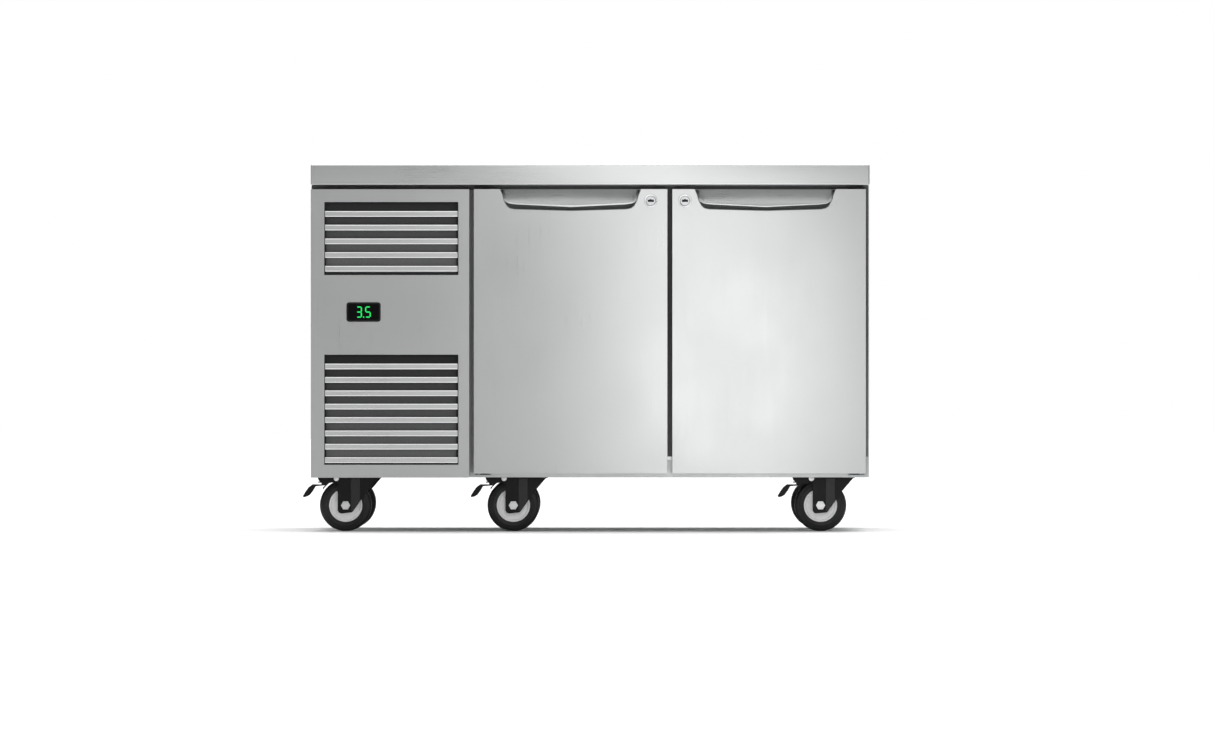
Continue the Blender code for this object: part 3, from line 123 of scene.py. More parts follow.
def fit(name, mesh, material, body, slot, *stands_for, edge=0.0):
    """Adds a finished mesh to the object: its finish, the body it rides on, and the nodes it stands
    for. Its slot is not used. An edge rounds its folds by that radius."""
    mesh.materials.clear()
    mesh.materials.append(material)
    mesh.polygons.foreach_set("material_index", [0] * len(mesh.polygons))
    mesh.shade_smooth()
    mesh.set_sharp_from_angle(angle=math.radians(34))
    made = bpy.data.objects.new(name, mesh)
    bpy.context.scene.collection.objects.link(made)
    if edge:
        bevel = made.modifiers.new("Edges", "BEVEL")
        bevel.width = edge
        bevel.segments = 2
        bevel.limit_method = "ANGLE"
        bevel.angle_limit = math.radians(34)
    flats = made.modifiers.new("Flats", "WEIGHTED_NORMAL")
    flats.keep_sharp = True
    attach(made, body)
    if stands_for:
        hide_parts(*stands_for)
    return made


def meshed(name, bm):
    """A working mesh as a mesh of its own."""
    mesh = bpy.data.meshes.new(name)
    bm.to_mesh(mesh)
    bm.free()
    return mesh


def eased(node, edge, material, body, slot):
    """A copy of a model's node with its edges softened, which stands for that node."""
    bm = bmesh.new()
    bm.from_mesh(frame["nodes"][node].data)
    bmesh.ops.remove_doubles(bm, verts=bm.verts, dist=0.00001)
    bmesh.ops.dissolve_limit(bm, angle_limit=math.radians(0.5), verts=bm.verts, edges=bm.edges)
    return fit(node + "_finished", meshed(node + "_finished", bm), material, body, slot, node, edge=edge)


def points_mesh(name, points):
    """Loose points for a Geometry Nodes tree to set pieces on."""
    mesh = bpy.data.meshes.new(name)
    mesh.from_pydata([tuple(point) for point in points], [], [])
    return mesh


def copies_tree():
    """Sets a copy of a piece at each point, and gives them all one material."""
    tree = bpy.data.node_groups.new("copies_at_points", "GeometryNodeTree")
    for label, kind in (("Points", "Geometry"), ("Piece", "Object"), ("Material", "Material")):
        tree.interface.new_socket(label, in_out="INPUT", socket_type="NodeSocket" + kind)
    tree.interface.new_socket("Geometry", in_out="OUTPUT", socket_type="NodeSocketGeometry")
    given = add_node(tree, "NodeGroupInput")
    piece = add_node(tree, "GeometryNodeObjectInfo", links={"Object": given.outputs["Piece"]})
    copies = add_node(tree, "GeometryNodeInstanceOnPoints", links={
        "Points": given.outputs["Points"], "Instance": piece.outputs["Geometry"],
    })
    real = add_node(tree, "GeometryNodeRealizeInstances", links={"Geometry": copies.outputs["Instances"]})
    painted = add_node(tree, "GeometryNodeSetMaterial", links={
        "Geometry": real.outputs["Geometry"], "Material": given.outputs["Material"],
    })
    add_node(tree, "NodeGroupOutput", links={"Geometry": painted.outputs["Geometry"]})
    return tree


COPIES = copies_tree()


def copies(name, piece_mesh, points, material):
    """One plain mesh of a piece set at every point."""
    piece = bpy.data.objects.new(name + "_piece", piece_mesh)
    holder = bpy.data.objects.new(name + "_points", points_mesh(name + "_points", points))
    for made in (piece, holder):
        bpy.context.scene.collection.objects.link(made)
    setter = holder.modifiers.new("Copies", "NODES")
    setter.node_group = COPIES
    inputs = {item.name: item.identifier for item in COPIES.interface.items_tree if item.in_out == "INPUT"}
    setter[inputs["Piece"]] = piece
    setter[inputs["Material"]] = material
    bpy.context.view_layer.update()
    mesh = bpy.data.meshes.new_from_object(holder.evaluated_get(bpy.context.evaluated_depsgraph_get()))
    mesh.name = name
    for made in (piece, holder):
        bpy.data.objects.remove(made)
    return mesh


FLAT = Matrix.Identity(4)


def lathe(name, profile, sides, where=(0, 0, 0), turn=FLAT, closed=False):
    """A mesh turned about its own Z axis from (radius, height) points, then put in place."""
    bm = bmesh.new()
    line = [bm.verts.new((radius, 0, height)) for radius, height in profile]
    edges = [bm.edges.new(pair) for pair in zip(line, line[1:])]
    if closed:
        edges.append(bm.edges.new((line[-1], line[0])))
    bmesh.ops.spin(bm, geom=line + edges, cent=(0, 0, 0), axis=(0, 0, 1), angle=2 * math.pi, steps=sides,
                   use_merge=True)
    bmesh.ops.remove_doubles(bm, verts=bm.verts, dist=0.00001)
    bmesh.ops.recalc_face_normals(bm, faces=bm.faces)
    bmesh.ops.transform(bm, matrix=Matrix.Translation(where) @ turn, verts=bm.verts)
    return meshed(name, bm)


def screw_head(radius, height, turn):
    """A pan head with a round socket in the middle."""
    dome = [(radius * math.cos(a), height * math.sin(a)) for a in (0, 0.45, 0.9, 1.25)]
    socket = [(radius * 0.34, height * 0.96), (radius * 0.30, height * 0.35), (0, height * 0.30)]
    return lathe("screw_head", [(0, 0)] + dome + socket, 12, turn=turn)


TO_BACK = Matrix.Rotation(-math.pi / 2, 4, "X")
TO_LEFT = Matrix.Rotation(-math.pi / 2, 4, "Y")
SCREW_RADIUS, SCREW_HEIGHT = 0.0045, 0.0022
INSET = 0.012                                 # from a panel's edges to its screws
BACK_FOOT, BACK_TOP = 0.045, 0.020            # from the back's foot and top to its two rows

# Folded stainless sheet, a little duller than the doors, with upright belt lines.
casing_steel = brushed_steel("casing_stainless", "#b4b6b6", (900, 900, 4), 0.38)
# Headed and turned screws: small bright points with no direction to their lines.
screw_steel = brushed_steel("screw_stainless", "#c4c5c5", (300, 300, 300), 0.28)
eased("outer_casing", 0.0007, casing_steel, "root", "body_steel")
eased("left_side_panel", 0.0006, casing_steel, "root", "body_steel")

low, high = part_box("left_side_panel")
side_points = [
    (low.x, y, z)
    for y in (low.y + INSET, (low.y + high.y) / 2, high.y - INSET)
    for z in (low.z + INSET, (low.z + high.z) / 2, high.z - INSET)
]
side_head = screw_head(SCREW_RADIUS, SCREW_HEIGHT, TO_LEFT)
side_screws = copies("side_panel_screws", side_head, side_points, screw_steel)
fit("side_panel_screws", side_screws, screw_steel, "root", "body_steel")
low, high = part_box("outer_casing")
columns = [low.x + INSET + (high.x - low.x - 2 * INSET) * step / 5 for step in range(6)]
back_points = [(x, high.y, z) for x in columns for z in (low.z + BACK_FOOT, high.z - BACK_TOP)]
back_head = screw_head(SCREW_RADIUS, SCREW_HEIGHT, TO_BACK)
back_screws = copies("back_panel_screws", back_head, back_points, screw_steel)
fit("back_panel_screws", back_screws, screw_steel, "root", "body_steel")


# ---- Inside of the cabinet -----------------------------------------------------------
# Foamed in place between casing and liner. The liner is stainless with coved corners, and
# the mullion between the doors carries a face that both gaskets close on.

def matt(name, tint, roughness, grain=220.0, spread=0.08, gloss=0.5):
    """Moulded plastic, paint, foam or rubber: one colour in faint patches, and a fine skin.
    grain is the skin's repeats a metre, 1 to 6 mm, where a real skin's are too fine to show."""
    made, tree, shader, place = new_material(name)
    skin = add_node(tree, "ShaderNodeTexNoise", values={"Scale": grain, "Detail": 3.0}, links={
        "Vector": place,
    })
    patches = add_node(tree, "ShaderNodeTexNoise", values={"Scale": grain / 14, "Detail": 2.0}, links={
        "Vector": place,
    })
    own = colour(tint)
    pale = [min(1.0, channel * (1 + spread) + 0.002) for channel in own[:3]] + [1.0]
    deep = [channel * (1 - spread) for channel in own[:3]] + [1.0]
    base = add_node(tree, "ShaderNodeMix", {"data_type": "RGBA"}, {6: deep, 7: pale}, {
        0: patches.outputs["Fac"],
    })
    sheen = add_node(tree, "ShaderNodeMapRange", values={
        "From Min": 0.3, "From Max": 0.7, "To Min": roughness - 0.05, "To Max": roughness + 0.05,
    }, links={"Value": skin.outputs["Fac"]})
    bump = add_node(tree, "ShaderNodeBump", values={"Strength": 0.12, "Distance": 0.0003}, links={
        "Height": skin.outputs["Fac"],
    })
    feed(tree, shader, {"Specular IOR Level": gloss}, {
        "Base Color": base.outputs[2], "Roughness": sheen.outputs["Result"], "Normal": bump.outputs["Normal"],
    })
    return made


def corners_rounded(outline, steps=5):
    """An outline of (x, z, radius) corners as plain points, with each radius made an arc."""
    points = []
    for number, (x, z, radius) in enumerate(outline):
        corner = Vector((x, z))
        before = (Vector(outline[number - 1][:2]) - corner).normalized()
        after = (Vector(outline[(number + 1) % len(outline)][:2]) - corner).normalized()
        if not radius:
            points.append((x, z))
            continue
        half = before.angle(after) / 2
        centre = corner + (before + after).normalized() * radius / math.sin(half)
        first = corner + before * radius / math.tan(half) - centre
        last = corner + after * radius / math.tan(half) - centre
        sweep = math.atan2(first.x * last.y - first.y * last.x, first.dot(last))
        points += [
            tuple(centre + Matrix.Rotation(sweep * step / steps, 2) @ first) for step in range(steps + 1)
        ]
    return points


def rectangle(x0, z0, x1, z1, radius=0.0):
    return [(x0, z0, radius), (x1, z0, radius), (x1, z1, radius), (x0, z1, radius)]


def mesh_of_curve(name, curve, where):
    """A curve's surface as a closed mesh, put in its place."""
    guide = bpy.data.objects.new(name + "_guide", curve)
    bpy.context.scene.collection.objects.link(guide)
    bpy.context.view_layer.update()
    mesh = bpy.data.meshes.new_from_object(guide.evaluated_get(bpy.context.evaluated_depsgraph_get()))
    bpy.data.objects.remove(guide)
    mesh.name = name
    bm = bmesh.new()
    bm.from_mesh(mesh)
    bmesh.ops.remove_doubles(bm, verts=bm.verts, dist=0.00001)
    bmesh.ops.transform(bm, matrix=where, verts=bm.verts)
    bmesh.ops.recalc_face_normals(bm, faces=bm.faces)
    bm.to_mesh(mesh)
    bm.free()
    return mesh


TO_FRONT = Matrix.Rotation(math.pi / 2, 4, "X")


def slab(name, outlines, middle, thickness, edge, turn=TO_FRONT):
    """A mesh cut to outlines, the later ones as holes, with its edges rounded. Standing, the
    outlines are (x, z) and middle is where its middle lies along Y."""
    curve = bpy.data.curves.new(name, "CURVE")
    curve.dimensions = "2D"
    curve.fill_mode = "BOTH"
    curve.extrude = thickness / 2 - edge
    curve.bevel_depth = edge
    curve.bevel_resolution = 2
    curve.offset = -edge
    for outline in outlines:
        points = corners_rounded(outline)
        spline = curve.splines.new("POLY")
        spline.points.add(len(points) - 1)
        for point, (x, z) in zip(spline.points, points):
            point.co = (x, z, 0, 1)
        spline.use_cyclic_u = True
    return mesh_of_curve(name, curve, Matrix.Translation(middle) @ turn)


def joined(name, meshes):
    """Several meshes as one."""
    bm = bmesh.new()
    for mesh in meshes:
        bm.from_mesh(mesh)
    return meshed(name, bm)


def faded(tree, place, foot, top, foot_tint, top_tint):
    """A colour that goes from one tint at the foot to another at the top."""
    height = add_node(tree, "ShaderNodeSeparateXYZ", links={"Vector": place})
    share = add_node(tree, "ShaderNodeMapRange", values={"From Min": foot, "From Max": top}, links={
        "Value": height.outputs["Z"],
    })
    return add_node(tree, "ShaderNodeMix", {"data_type": "RGBA"}, {
        6: colour(foot_tint), 7: colour(top_tint),
    }, {0: share.outputs["Result"]}).outputs[2]


def shaded_breaker_plastic(name, foot_tint, top_tint):
    """Extruded PVC that keeps cold steel from warm. Paler low down and darker higher up: painted
    light and shade of the gaps. Its streaks are drawn 8 mm wide, as the real ones are too fine to show."""
    made, tree, shader, place = new_material(name)
    grain = add_node(tree, "ShaderNodeTexNoise", values={"Scale": 120.0, "Detail": 3.0}, links={
        "Vector": place,
    })
    sheen = add_node(tree, "ShaderNodeMapRange", values={"To Min": 0.5, "To Max": 0.7}, links={
        "Value": grain.outputs["Fac"],
    })
    # Painted light and shade: paler towards the foot, darker towards the top.
    base = faded(tree, place, 0.14, 0.48, foot_tint, top_tint)
    feed(tree, shader, {}, {"Base Color": base, "Roughness": sheen.outputs["Result"]})
    return made


# Liner sheet: brighter than the outside, with level lines and rounded corners.
liner_steel = brushed_steel("liner_stainless", "#c8cacb", (4, 4, 700), 0.33)
# Poured foam: pale yellow and dead matt, with coarse pores.
foam = matt("polyurethane_foam", "#d8c48c", 0.9, 160.0, 0.12)
# Extruded PVC: a dark line round the doors, partly its own grey and partly painted shade in the
# gaps. Its flange beside the service panel is a paler copy, painted light for the gap there.
breaker = shaded_breaker_plastic("breaker_pvc", "#7c7c7c", "#525252")
lit_edge_breaker = shaded_breaker_plastic("panel_edge_pvc_painted_light", "#d2d2d2", "#a6a6a6")
eased("insulation_foam", 0.0005, foam, "root", "foam")
eased("inner_liner", 0.0020, liner_steel, "root", "liner_steel")
eased("centre_mullion", 0.0012, breaker, "root", "liner_steel")

CABINET_WIDTH = 1.340
MOUTH_LEFT, MOUTH_RIGHT = 0.386, 0.389        # the cabinet's openings beside the mullion
STRIP, STRIP_EDGE, STRIP_PROUD = 0.0002, 0.00002, 0.00015
SIDE_RIM, TOP_RIM, SILL = 0.002, 0.001, 0.020
OVER_PANEL, PANEL_GAP, FLANGE_DROP = 0.011, 0.0120, 0.058
post_low, post_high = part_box("centre_mullion")
casing_high, panel_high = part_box("outer_casing")[1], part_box("service_panel")[1]
strip_top = casing_high.z - TOP_RIM
# Strips in the gaps round the doors and above the service panel: their dark is partly painted shade.
frame_strip = slab("breaker_strip", [
    rectangle(panel_high.x - SIDE_RIM, post_low.z - SILL, casing_high.x - SIDE_RIM, strip_top),
    rectangle(post_low.x - MOUTH_LEFT, post_low.z, post_low.x, post_high.z),
    rectangle(post_high.x, post_low.z, post_high.x + MOUTH_RIGHT, post_high.z),
], (0, post_low.y - STRIP_PROUD, 0), STRIP, STRIP_EDGE)
over_panel = slab("breaker_over_panel", [rectangle(
    casing_high.x - CABINET_WIDTH + 0.0005, casing_high.z - OVER_PANEL, panel_high.x - 0.003, strip_top,
)], (0, post_low.y - STRIP_PROUD, 0), STRIP, STRIP_EDGE)
fit("breaker_strip", joined("breaker_strip", [frame_strip, over_panel]), breaker, "root", "black_plastic")
# The paler flange beside the service panel: painted light for that gap.
beside_panel = slab("breaker_beside_panel", [rectangle(
    panel_high.x - 0.0005, post_low.z - FLANGE_DROP, panel_high.x + PANEL_GAP, panel_high.z - TOP_RIM,
)], (0, post_low.y - STRIP_PROUD - STRIP, 0), STRIP, STRIP_EDGE)
fit("breaker_beside_panel", beside_panel, lit_edge_breaker, "root", "black_plastic")


# ---- Machine: condenser, fan, compressor ---------------------------------------------
# Copper tube through pressed aluminium fins, a galvanised shroud that holds the fan motor,
# and a black hermetic compressor on rubber feet with its terminal box and pipes.

def arc(radius, start, end, steps, centre=(0.0, 0.0)):
    """Points on an arc, from one angle to another in degrees."""
    angles = [math.radians(start + (end - start) * step / steps) for step in range(steps + 1)]
    return [(centre[0] + radius * math.cos(a), centre[1] + radius * math.sin(a)) for a in angles]


def box_mesh(name, low, high):
    """A plain block between two corners."""
    bm = bmesh.new()
    bmesh.ops.create_cube(bm, size=1.0)
    size = Matrix.Diagonal((*(Vector(high) - Vector(low)), 1.0))
    middle = Matrix.Translation((Vector(low) + Vector(high)) / 2)
    bmesh.ops.transform(bm, matrix=middle @ size, verts=bm.verts)
    return meshed(name, bm)


def pipe(name, points, radius, cyclic=False, roundness=2):
    """A round bar or tube along points, its ends closed."""
    curve = bpy.data.curves.new(name, "CURVE")
    curve.dimensions = "3D"
    curve.bevel_depth = radius
    curve.bevel_resolution = roundness
    curve.use_fill_caps = True
    spline = curve.splines.new("POLY")
    spline.points.add(len(points) - 1)
    for point, place in zip(spline.points, points):
        point.co = (*place, 1)
    spline.use_cyclic_u = cyclic
    return mesh_of_curve(name, curve, FLAT)


def bent(points, radius, steps=6):
    """Points of a bent tube: each inner corner becomes an arc of this radius."""
    points = [Vector(point) for point in points]
    made = [points[0]]
    for before, corner, after in zip(points, points[1:], points[2:]):
        first, last = (before - corner).normalized() * radius, (after - corner).normalized() * radius
        for step in range(steps + 1):
            share = step / steps
            made.append(corner + first * (1 - share) ** 2 + last * share ** 2)
    return made + [points[-1]]


FIN_HALF, TUBE_RADIUS, BEND_ROOM, ROW_PITCH = 0.00018, 0.0040, 0.009, 0.026


def finned_coil(node, across, thin, pitch, slot):
    """Fins on a tube that runs to and fro. across is the axis the tube runs on, thin the
    coil's thin axis. Fins are 0.2 mm foil 2 mm apart, drawn a little thicker and coarser."""
    low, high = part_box(node)
    first, last = low[across] + BEND_ROOM, high[across] - BEND_ROOM
    count = int((last - first) / pitch)
    fin_low, fin_high = low.copy(), high.copy()
    fin_low[across], fin_high[across] = -FIN_HALF, FIN_HALF
    fin = box_mesh(node + "_fin", fin_low, fin_high)
    places = []
    for number in range(count + 1):
        place = Vector((0, 0, 0))
        place[across] = first + (last - first) * number / count
        places.append(place)
    fit(node + "_fins", copies(node + "_fins", fin, places, fin_aluminium), fin_aluminium, "root", slot, node)
    rows = int((high.z - low.z) / ROW_PITCH)
    step = (high.z - low.z) / rows
    reach = min(BEND_ROOM - TUBE_RADIUS, step / 2)
    tubes = []
    for layer in (0.28, 0.72):
        run = []
        for row in range(rows):
            z = low.z + step * (row + 0.5)
            start, end = (first, last) if row % 2 == 0 else (last, first)
            outward = math.copysign(reach, end - start)
            route = [(start, z), (end, z)]
            for angle in (-60, -30, 0, 30, 60) if row + 1 < rows else ():
                turn = math.radians(angle)
                route.append((end + outward * math.cos(turn), z + step / 2 + step / 2 * math.sin(turn)))
            for along, height in route:
                point = Vector((0, 0, height))
                point[thin] = low[thin] + (high[thin] - low[thin]) * layer
                point[across] = along
                run.append(point)
        tubes.append(pipe(node + "_tube", run, TUBE_RADIUS))
    fit(node + "_tubes", joined(node + "_tubes", tubes), copper, "root", "aluminium_fins")


def fan_mesh(name, centre, radius, hub, deep, turn, blades=5):
    """A moulded or pressed fan: curved blades round a domed hub."""
    bm = bmesh.new()
    for number in range(blades):
        spin = Matrix.Rotation(2 * math.pi * number / blades, 4, "Z")
        grid = []
        for out in range(7):
            share = out / 6
            at = hub * 0.92 + (radius - hub * 0.92) * share
            sweep = 0.30 * share
            half = (0.42 + 0.10 * share) * (1 - 0.25 * share ** 4)
            row = []
            for along in range(9):
                part = along / 4 - 1
                angle = sweep + half * part
                rise = (deep * 0.42) * part * (1 - 0.25 * share) + 0.0025 * (1 - part * part)
                row.append(bm.verts.new(spin @ Vector((at * math.cos(angle), at * math.sin(angle), rise))))
            grid.append(row)
        for inner, outer in zip(grid, grid[1:]):
            for a, b, c, d in zip(inner, inner[1:], outer[1:], outer):
                bm.faces.new((a, d, c, b))
    bmesh.ops.solidify(bm, geom=bm.faces[:], thickness=0.0012)
    sheet = meshed(name + "_blades", bm)
    half, rim = deep / 2, 0.003
    rounded = arc(rim, 0, 90, 4, (hub - rim, half - rim))
    profile = [(0, -half), (hub, -half), *rounded, (hub * 0.5, half), (0, half)]
    made = joined(name, [sheet, lathe(name + "_hub", profile, 32)])
    made.transform(Matrix.Translation(centre) @ turn)
    return made


# Pressed foil: pale and soft, as the many edges scatter what they reflect.
fin_aluminium = brushed_steel("fin_aluminium", "#c9cdd0", (600, 600, 600), 0.42)
# Drawn copper tube: a warm satin, not polished.
copper = brushed_steel("copper_tube", "#c98a66", (60, 60, 60), 0.30)
# Stoved enamel: black with a soft highlight.
black_paint = matt("black_stoved_paint", "#0d0d0e", 0.42, 260.0, gloss=0.2)
# Hot-dipped sheet: a dull grey with broad soft patches.
galvanised = brushed_steel("galvanised_sheet", "#a9adae", (40, 40, 40), 0.45)
# Moulded polycarbonate: deep black with a fine, smooth skin.
black_plastic = matt("black_polycarbonate", "#0a0a0b", 0.30, 400.0, gloss=0.25)
joint_at = {joint["name"]: Vector(joint["pos_m"]) for joint in frame["record"]["behaviour"]["joints"]}
finned_coil("condenser_coil", 0, 1, 0.0028, "aluminium_fins")
eased("condenser_fan_shroud", 0.0005, galvanised, "root", "galvanised_steel")
low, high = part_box("condenser_fan")
fit("condenser_fan_pressed", fan_mesh(
    "condenser_fan", joint_at["condenser_fan_spin"], 0.0945, 0.026, high.y - low.y, TO_BACK,
), fin_aluminium, "condenser_fan", "black_steel", "condenser_fan")

SHELL, SEAM_RADIUS, SEAM_HALF = 0.0840, 0.0875, 0.005
SEAM_DOWN = 0.082                             # from the compressor's top to its welded seam
COIL_BACK = -0.222                            # where the discharge pipe meets the condenser
eased("compressor", 0.0020, black_paint, "root", "black_steel")
low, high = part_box("compressor")
middle = Vector(((low.x + high.x) / 2, (low.y + high.y) / 2, high.z - SEAM_DOWN))
half_seam = [(SHELL, SEAM_HALF), (SEAM_RADIUS - 0.0007, SEAM_HALF - 0.001)]
seam = [(radius, -height) for radius, height in half_seam] + [(SEAM_RADIUS, 0)] + half_seam[::-1]
fit("compressor_seam", lathe("compressor_seam", seam, 64, middle, closed=True),
    black_paint, "root", "black_steel")
cap = slab("compressor_terminals", [
    rectangle(middle.x - 0.028, middle.z - 0.062, middle.x + 0.028, middle.z - 0.012, 0.006),
], (0, middle.y + 0.092, 0), 0.030, 0.003)
fit("compressor_terminals", cap, black_plastic, "root", "black_plastic")
suction = [middle + Vector(offset) for offset in (
    (-0.060, -0.050, 0.006), (-0.096, -0.070, 0.006), (-0.096, -0.070, 0.150), (-0.030, -0.070, 0.190),
    (-0.030, 0.060, 0.190),
)]
discharge = [middle + Vector(offset) for offset in (
    (0.062, -0.050, -0.030), (0.094, -0.060, -0.030), (0.094, -0.060, 0.060), (0.094, -0.150, 0.060),
    (0.094, COIL_BACK - middle.y, 0.060),
)]
fit("compressor_pipes", joined("compressor_pipes", [
    pipe("suction_pipe", bent(suction, 0.020), 0.0048, roundness=3),
    pipe("discharge_pipe", bent(discharge, 0.018), 0.0032, roundness=3),
]), copper, "root", "black_steel")


# ---- Evaporator ----------------------------------------------------------------------
# Copper tube through pressed aluminium fins, in its own pocket of the liner, behind a white
# moulded cover that holds the fan and its wire guard.

TO_RIGHT = Matrix.Rotation(math.pi / 2, 4, "Y")
# Injection-moulded polystyrene: a clean white with a low gloss.
white_plastic = matt("white_polystyrene", "#e9eaea", 0.40)
finned_coil("evaporator_coil", 1, 0, 0.0040, "aluminium_fins")
eased("evaporator_cover", 0.0012, white_plastic, "root", "white_plastic")
low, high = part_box("evaporator_fan")
fit("evaporator_fan_moulded", fan_mesh(
    "evaporator_fan", joint_at["evaporator_fan_spin"], 0.0695, 0.026, high.x - low.x, TO_RIGHT,
), black_plastic, "evaporator_fan", "black_plastic", "evaporator_fan")
guard = joint_at["evaporator_fan_spin"]
RING_OUT, SPOKE_OUT = 0.0155, 0.0168          # how far they stand in front of the fan
rings = [pipe("guard_ring", [
    guard + Vector((RING_OUT, x, y)) for x, y in arc(radius, 0, 352.5, 47)
], 0.0011, True) for radius in (0.014, 0.026, 0.038, 0.050, 0.062, 0.074)]
spokes = [pipe("guard_spoke", [
    guard + Vector((SPOKE_OUT, radius * math.cos(a), radius * math.sin(a))) for radius in (0.012, 0.080)
], 0.0014) for a in (math.radians(45 + 90 * step) for step in range(4))]
fit("evaporator_guard", joined("evaporator_guard", rings + spokes), galvanised, "root", "white_plastic")


# ---- Shelf supports and shelves ------------------------------------------------------
# Stainless posts with runners, fixed to the liner, and two lift-out shelves of welded wire
# that is dipped in plastic.

# Dipped polyethylene: a light grey skin, slightly glossy and smooth over every weld.
shelf_coat = matt("plastic_coated_wire", "#c6cacb", 0.35)
RIM_WIRE, BAR_WIRE, SHELF_WIRE, WIRE_COUNT = 0.0030, 0.0024, 0.0019, 17
for place in ("left", "centre", "right"):
    eased("shelf_support_" + place, 0.0006, liner_steel, "root", "bracket_steel")
for side in ("left", "right"):
    name = "shelf_" + side
    low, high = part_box(name)
    left, right, front, back = low.x + RIM_WIRE, high.x - RIM_WIRE, low.y + RIM_WIRE, high.y - RIM_WIRE
    middle = (low.z + high.z) / 2
    under = middle - RIM_WIRE - 0.0001
    rim = pipe(name + "_rim", [
        (x, y, middle) for x, y in corners_rounded(rectangle(left, front, right, back, 0.010))
    ], RIM_WIRE, True)
    bars = [
        pipe(name + "_bar", [(left, y, under), (right, y, under)], BAR_WIRE)
        for y in (low.y + (high.y - low.y) / 3, low.y + (high.y - low.y) * 2 / 3)
    ]
    wire = pipe(name + "_wire", [(0, front, 0), (0, back, 0)], SHELF_WIRE)
    gap = (high.x - low.x) / (WIRE_COUNT + 1)
    places = [(low.x + gap * (number + 1), 0, middle + 0.0008) for number in range(WIRE_COUNT)]
    wires = copies(name + "_wires", wire, places, shelf_coat)
    wirework = joined(name + "_wirework", [rim, *bars, wires])
    fit(name + "_wirework", wirework, shelf_coat, "root", "shelf_wire", name)


# ---- Worktop -------------------------------------------------------------------------
# A tray of 1.5 mm stainless sheet, folded down 48 mm all round. The corners are welded and
# dressed, so every edge is a small even radius that catches the light.

# Sheet belted along its length: a satin with long level lines.
worktop_steel = brushed_steel("worktop_stainless", "#b4b5b5", (4, 900, 900), 0.30)
low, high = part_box("worktop")
fit("worktop_tray", slab(
    "worktop_tray", [rectangle(low.x, low.y, high.x, high.y, 0.004)],
    (0, 0, (low.z + high.z) / 2), high.z - low.z, 0.0022, FLAT,
), worktop_steel, "root", "worktop_steel", "worktop")


# ---- Service panel and grilles -------------------------------------------------------
# The panel in front of the machine, of the doors' sheet. Two grilles of folded blades let
# the air in and out, and a washable filter pad sits behind each.

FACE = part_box("service_panel")[0].y


def filter_pad(name, top_tint, foot_tint, foot, top):
    """Open-cell filter foam, near black at the top and greyer towards its foot: painted shade and light
    between the blades. Its cells are 1.3 mm, drawn 2.2 mm so that they show."""
    made, tree, shader, place = new_material(name)
    cells = add_node(tree, "ShaderNodeTexVoronoi", values={"Scale": 450.0}, links={"Vector": place})
    depth = add_node(tree, "ShaderNodeMapRange", values={
        "From Max": 0.8, "To Min": 1.0, "To Max": 0.75,
    }, links={"Value": cells.outputs["Distance"]})
    base = add_node(tree, "ShaderNodeMix", {"data_type": "RGBA", "blend_type": "MULTIPLY"}, {0: 1.0}, {
        6: faded(tree, place, foot, top, foot_tint, top_tint), 7: depth.outputs["Result"],
    })
    feed(tree, shader, {"Roughness": 0.85}, {"Base Color": base.outputs[2]})
    return made


# Door and panel sheet: an even satin with upright lines, which draws reflections out.
front_steel = brushed_steel("front_stainless", "#aeafaf", (900, 900, 5), 0.32)
# Blades: the same sheet with its lines along each blade, and a bead at each fold in a white copy
# of the steel: a painted highlight on the rounded fold.
blade_steel = brushed_steel("grille_stainless", "#c0c1c1", (5, 900, 900), 0.30)
bead_painted_highlight_steel = brushed_steel("blade_bead_painted_highlight", "#ffffff", (5, 60, 60), 0.42)
# Closed-cell rubber: a dead black line round each grille.
seal_rubber = matt("seal_foam_rubber", "#1a1a1b", 0.8, 300.0, gloss=0.2)
eased("service_panel", 0.0007, front_steel, "root", "front_steel")

PAD_MARGIN, PAD_THICKNESS, PAD_BEHIND = 0.006, 0.008, 0.0045
SEAL_MARGIN, SEAL_WIDTH = 0.0075, 0.0050
GRILLE_RIM = 0.008                            # from the grille's edge to its opening
FIRST_BLADE, LAST_BLADE, BEAD_HALF = 0.0283, 0.0085, 0.0057
BLADE_PITCH = {"upper_grille": 0.0329, "lower_grille": 0.03207}
for grille, pitch in BLADE_PITCH.items():
    eased(grille, 0.0009, blade_steel, "root", "grille_steel")
    low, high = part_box(grille)
    pad_low, pad_high = low.z + PAD_MARGIN, high.z - PAD_MARGIN
    pad = slab(grille + "_filter", [
        rectangle(low.x + PAD_MARGIN, pad_low, high.x - PAD_MARGIN, pad_high, 0.004),
    ], (0, high.y + PAD_BEHIND, 0), PAD_THICKNESS, 0.001)
    # Painted shade: near black at the top of the pad, greyer towards its foot.
    foam_painted_shade = filter_pad(grille + "_foam", "#101011", "#6c6d6d", pad_low, pad_high)
    fit(grille + "_filter", pad, foam_painted_shade, "root", "grille_steel")
    seal = slab(grille + "_seal", [rectangle(
        low.x + inset, low.z + inset, high.x - inset, high.z - inset,
    ) for inset in (SEAL_MARGIN, SEAL_MARGIN + SEAL_WIDTH)], (0, FACE + 0.0016, 0), 0.0003, 0.00003)
    fit(grille + "_seal", seal, seal_rubber, "root", "black_plastic")
    first = high.z - GRILLE_RIM - FIRST_BLADE
    count = 1 + int((first - low.z - GRILLE_RIM - LAST_BLADE) / pitch)
    bead = pipe(grille + "_bead", [(low.x + 0.011, 0, 0), (high.x - 0.011, 0, 0)], 0.0011)
    heights = [first - pitch * n + side for n in range(count) for side in (-BEAD_HALF, BEAD_HALF)]
    # White steel beads along each blade's folds: painted highlights.
    beads = copies(grille + "_beads", bead, [(0, low.y + 0.0008, z) for z in heights], bead_painted_highlight_steel)
    fit(grille + "_beads", beads, bead_painted_highlight_steel, "root", "grille_steel")


# ---- Temperature display -------------------------------------------------------------
# A clip-in module: black polycarbonate bezel, smoked window, and green seven-segment
# digits behind it.

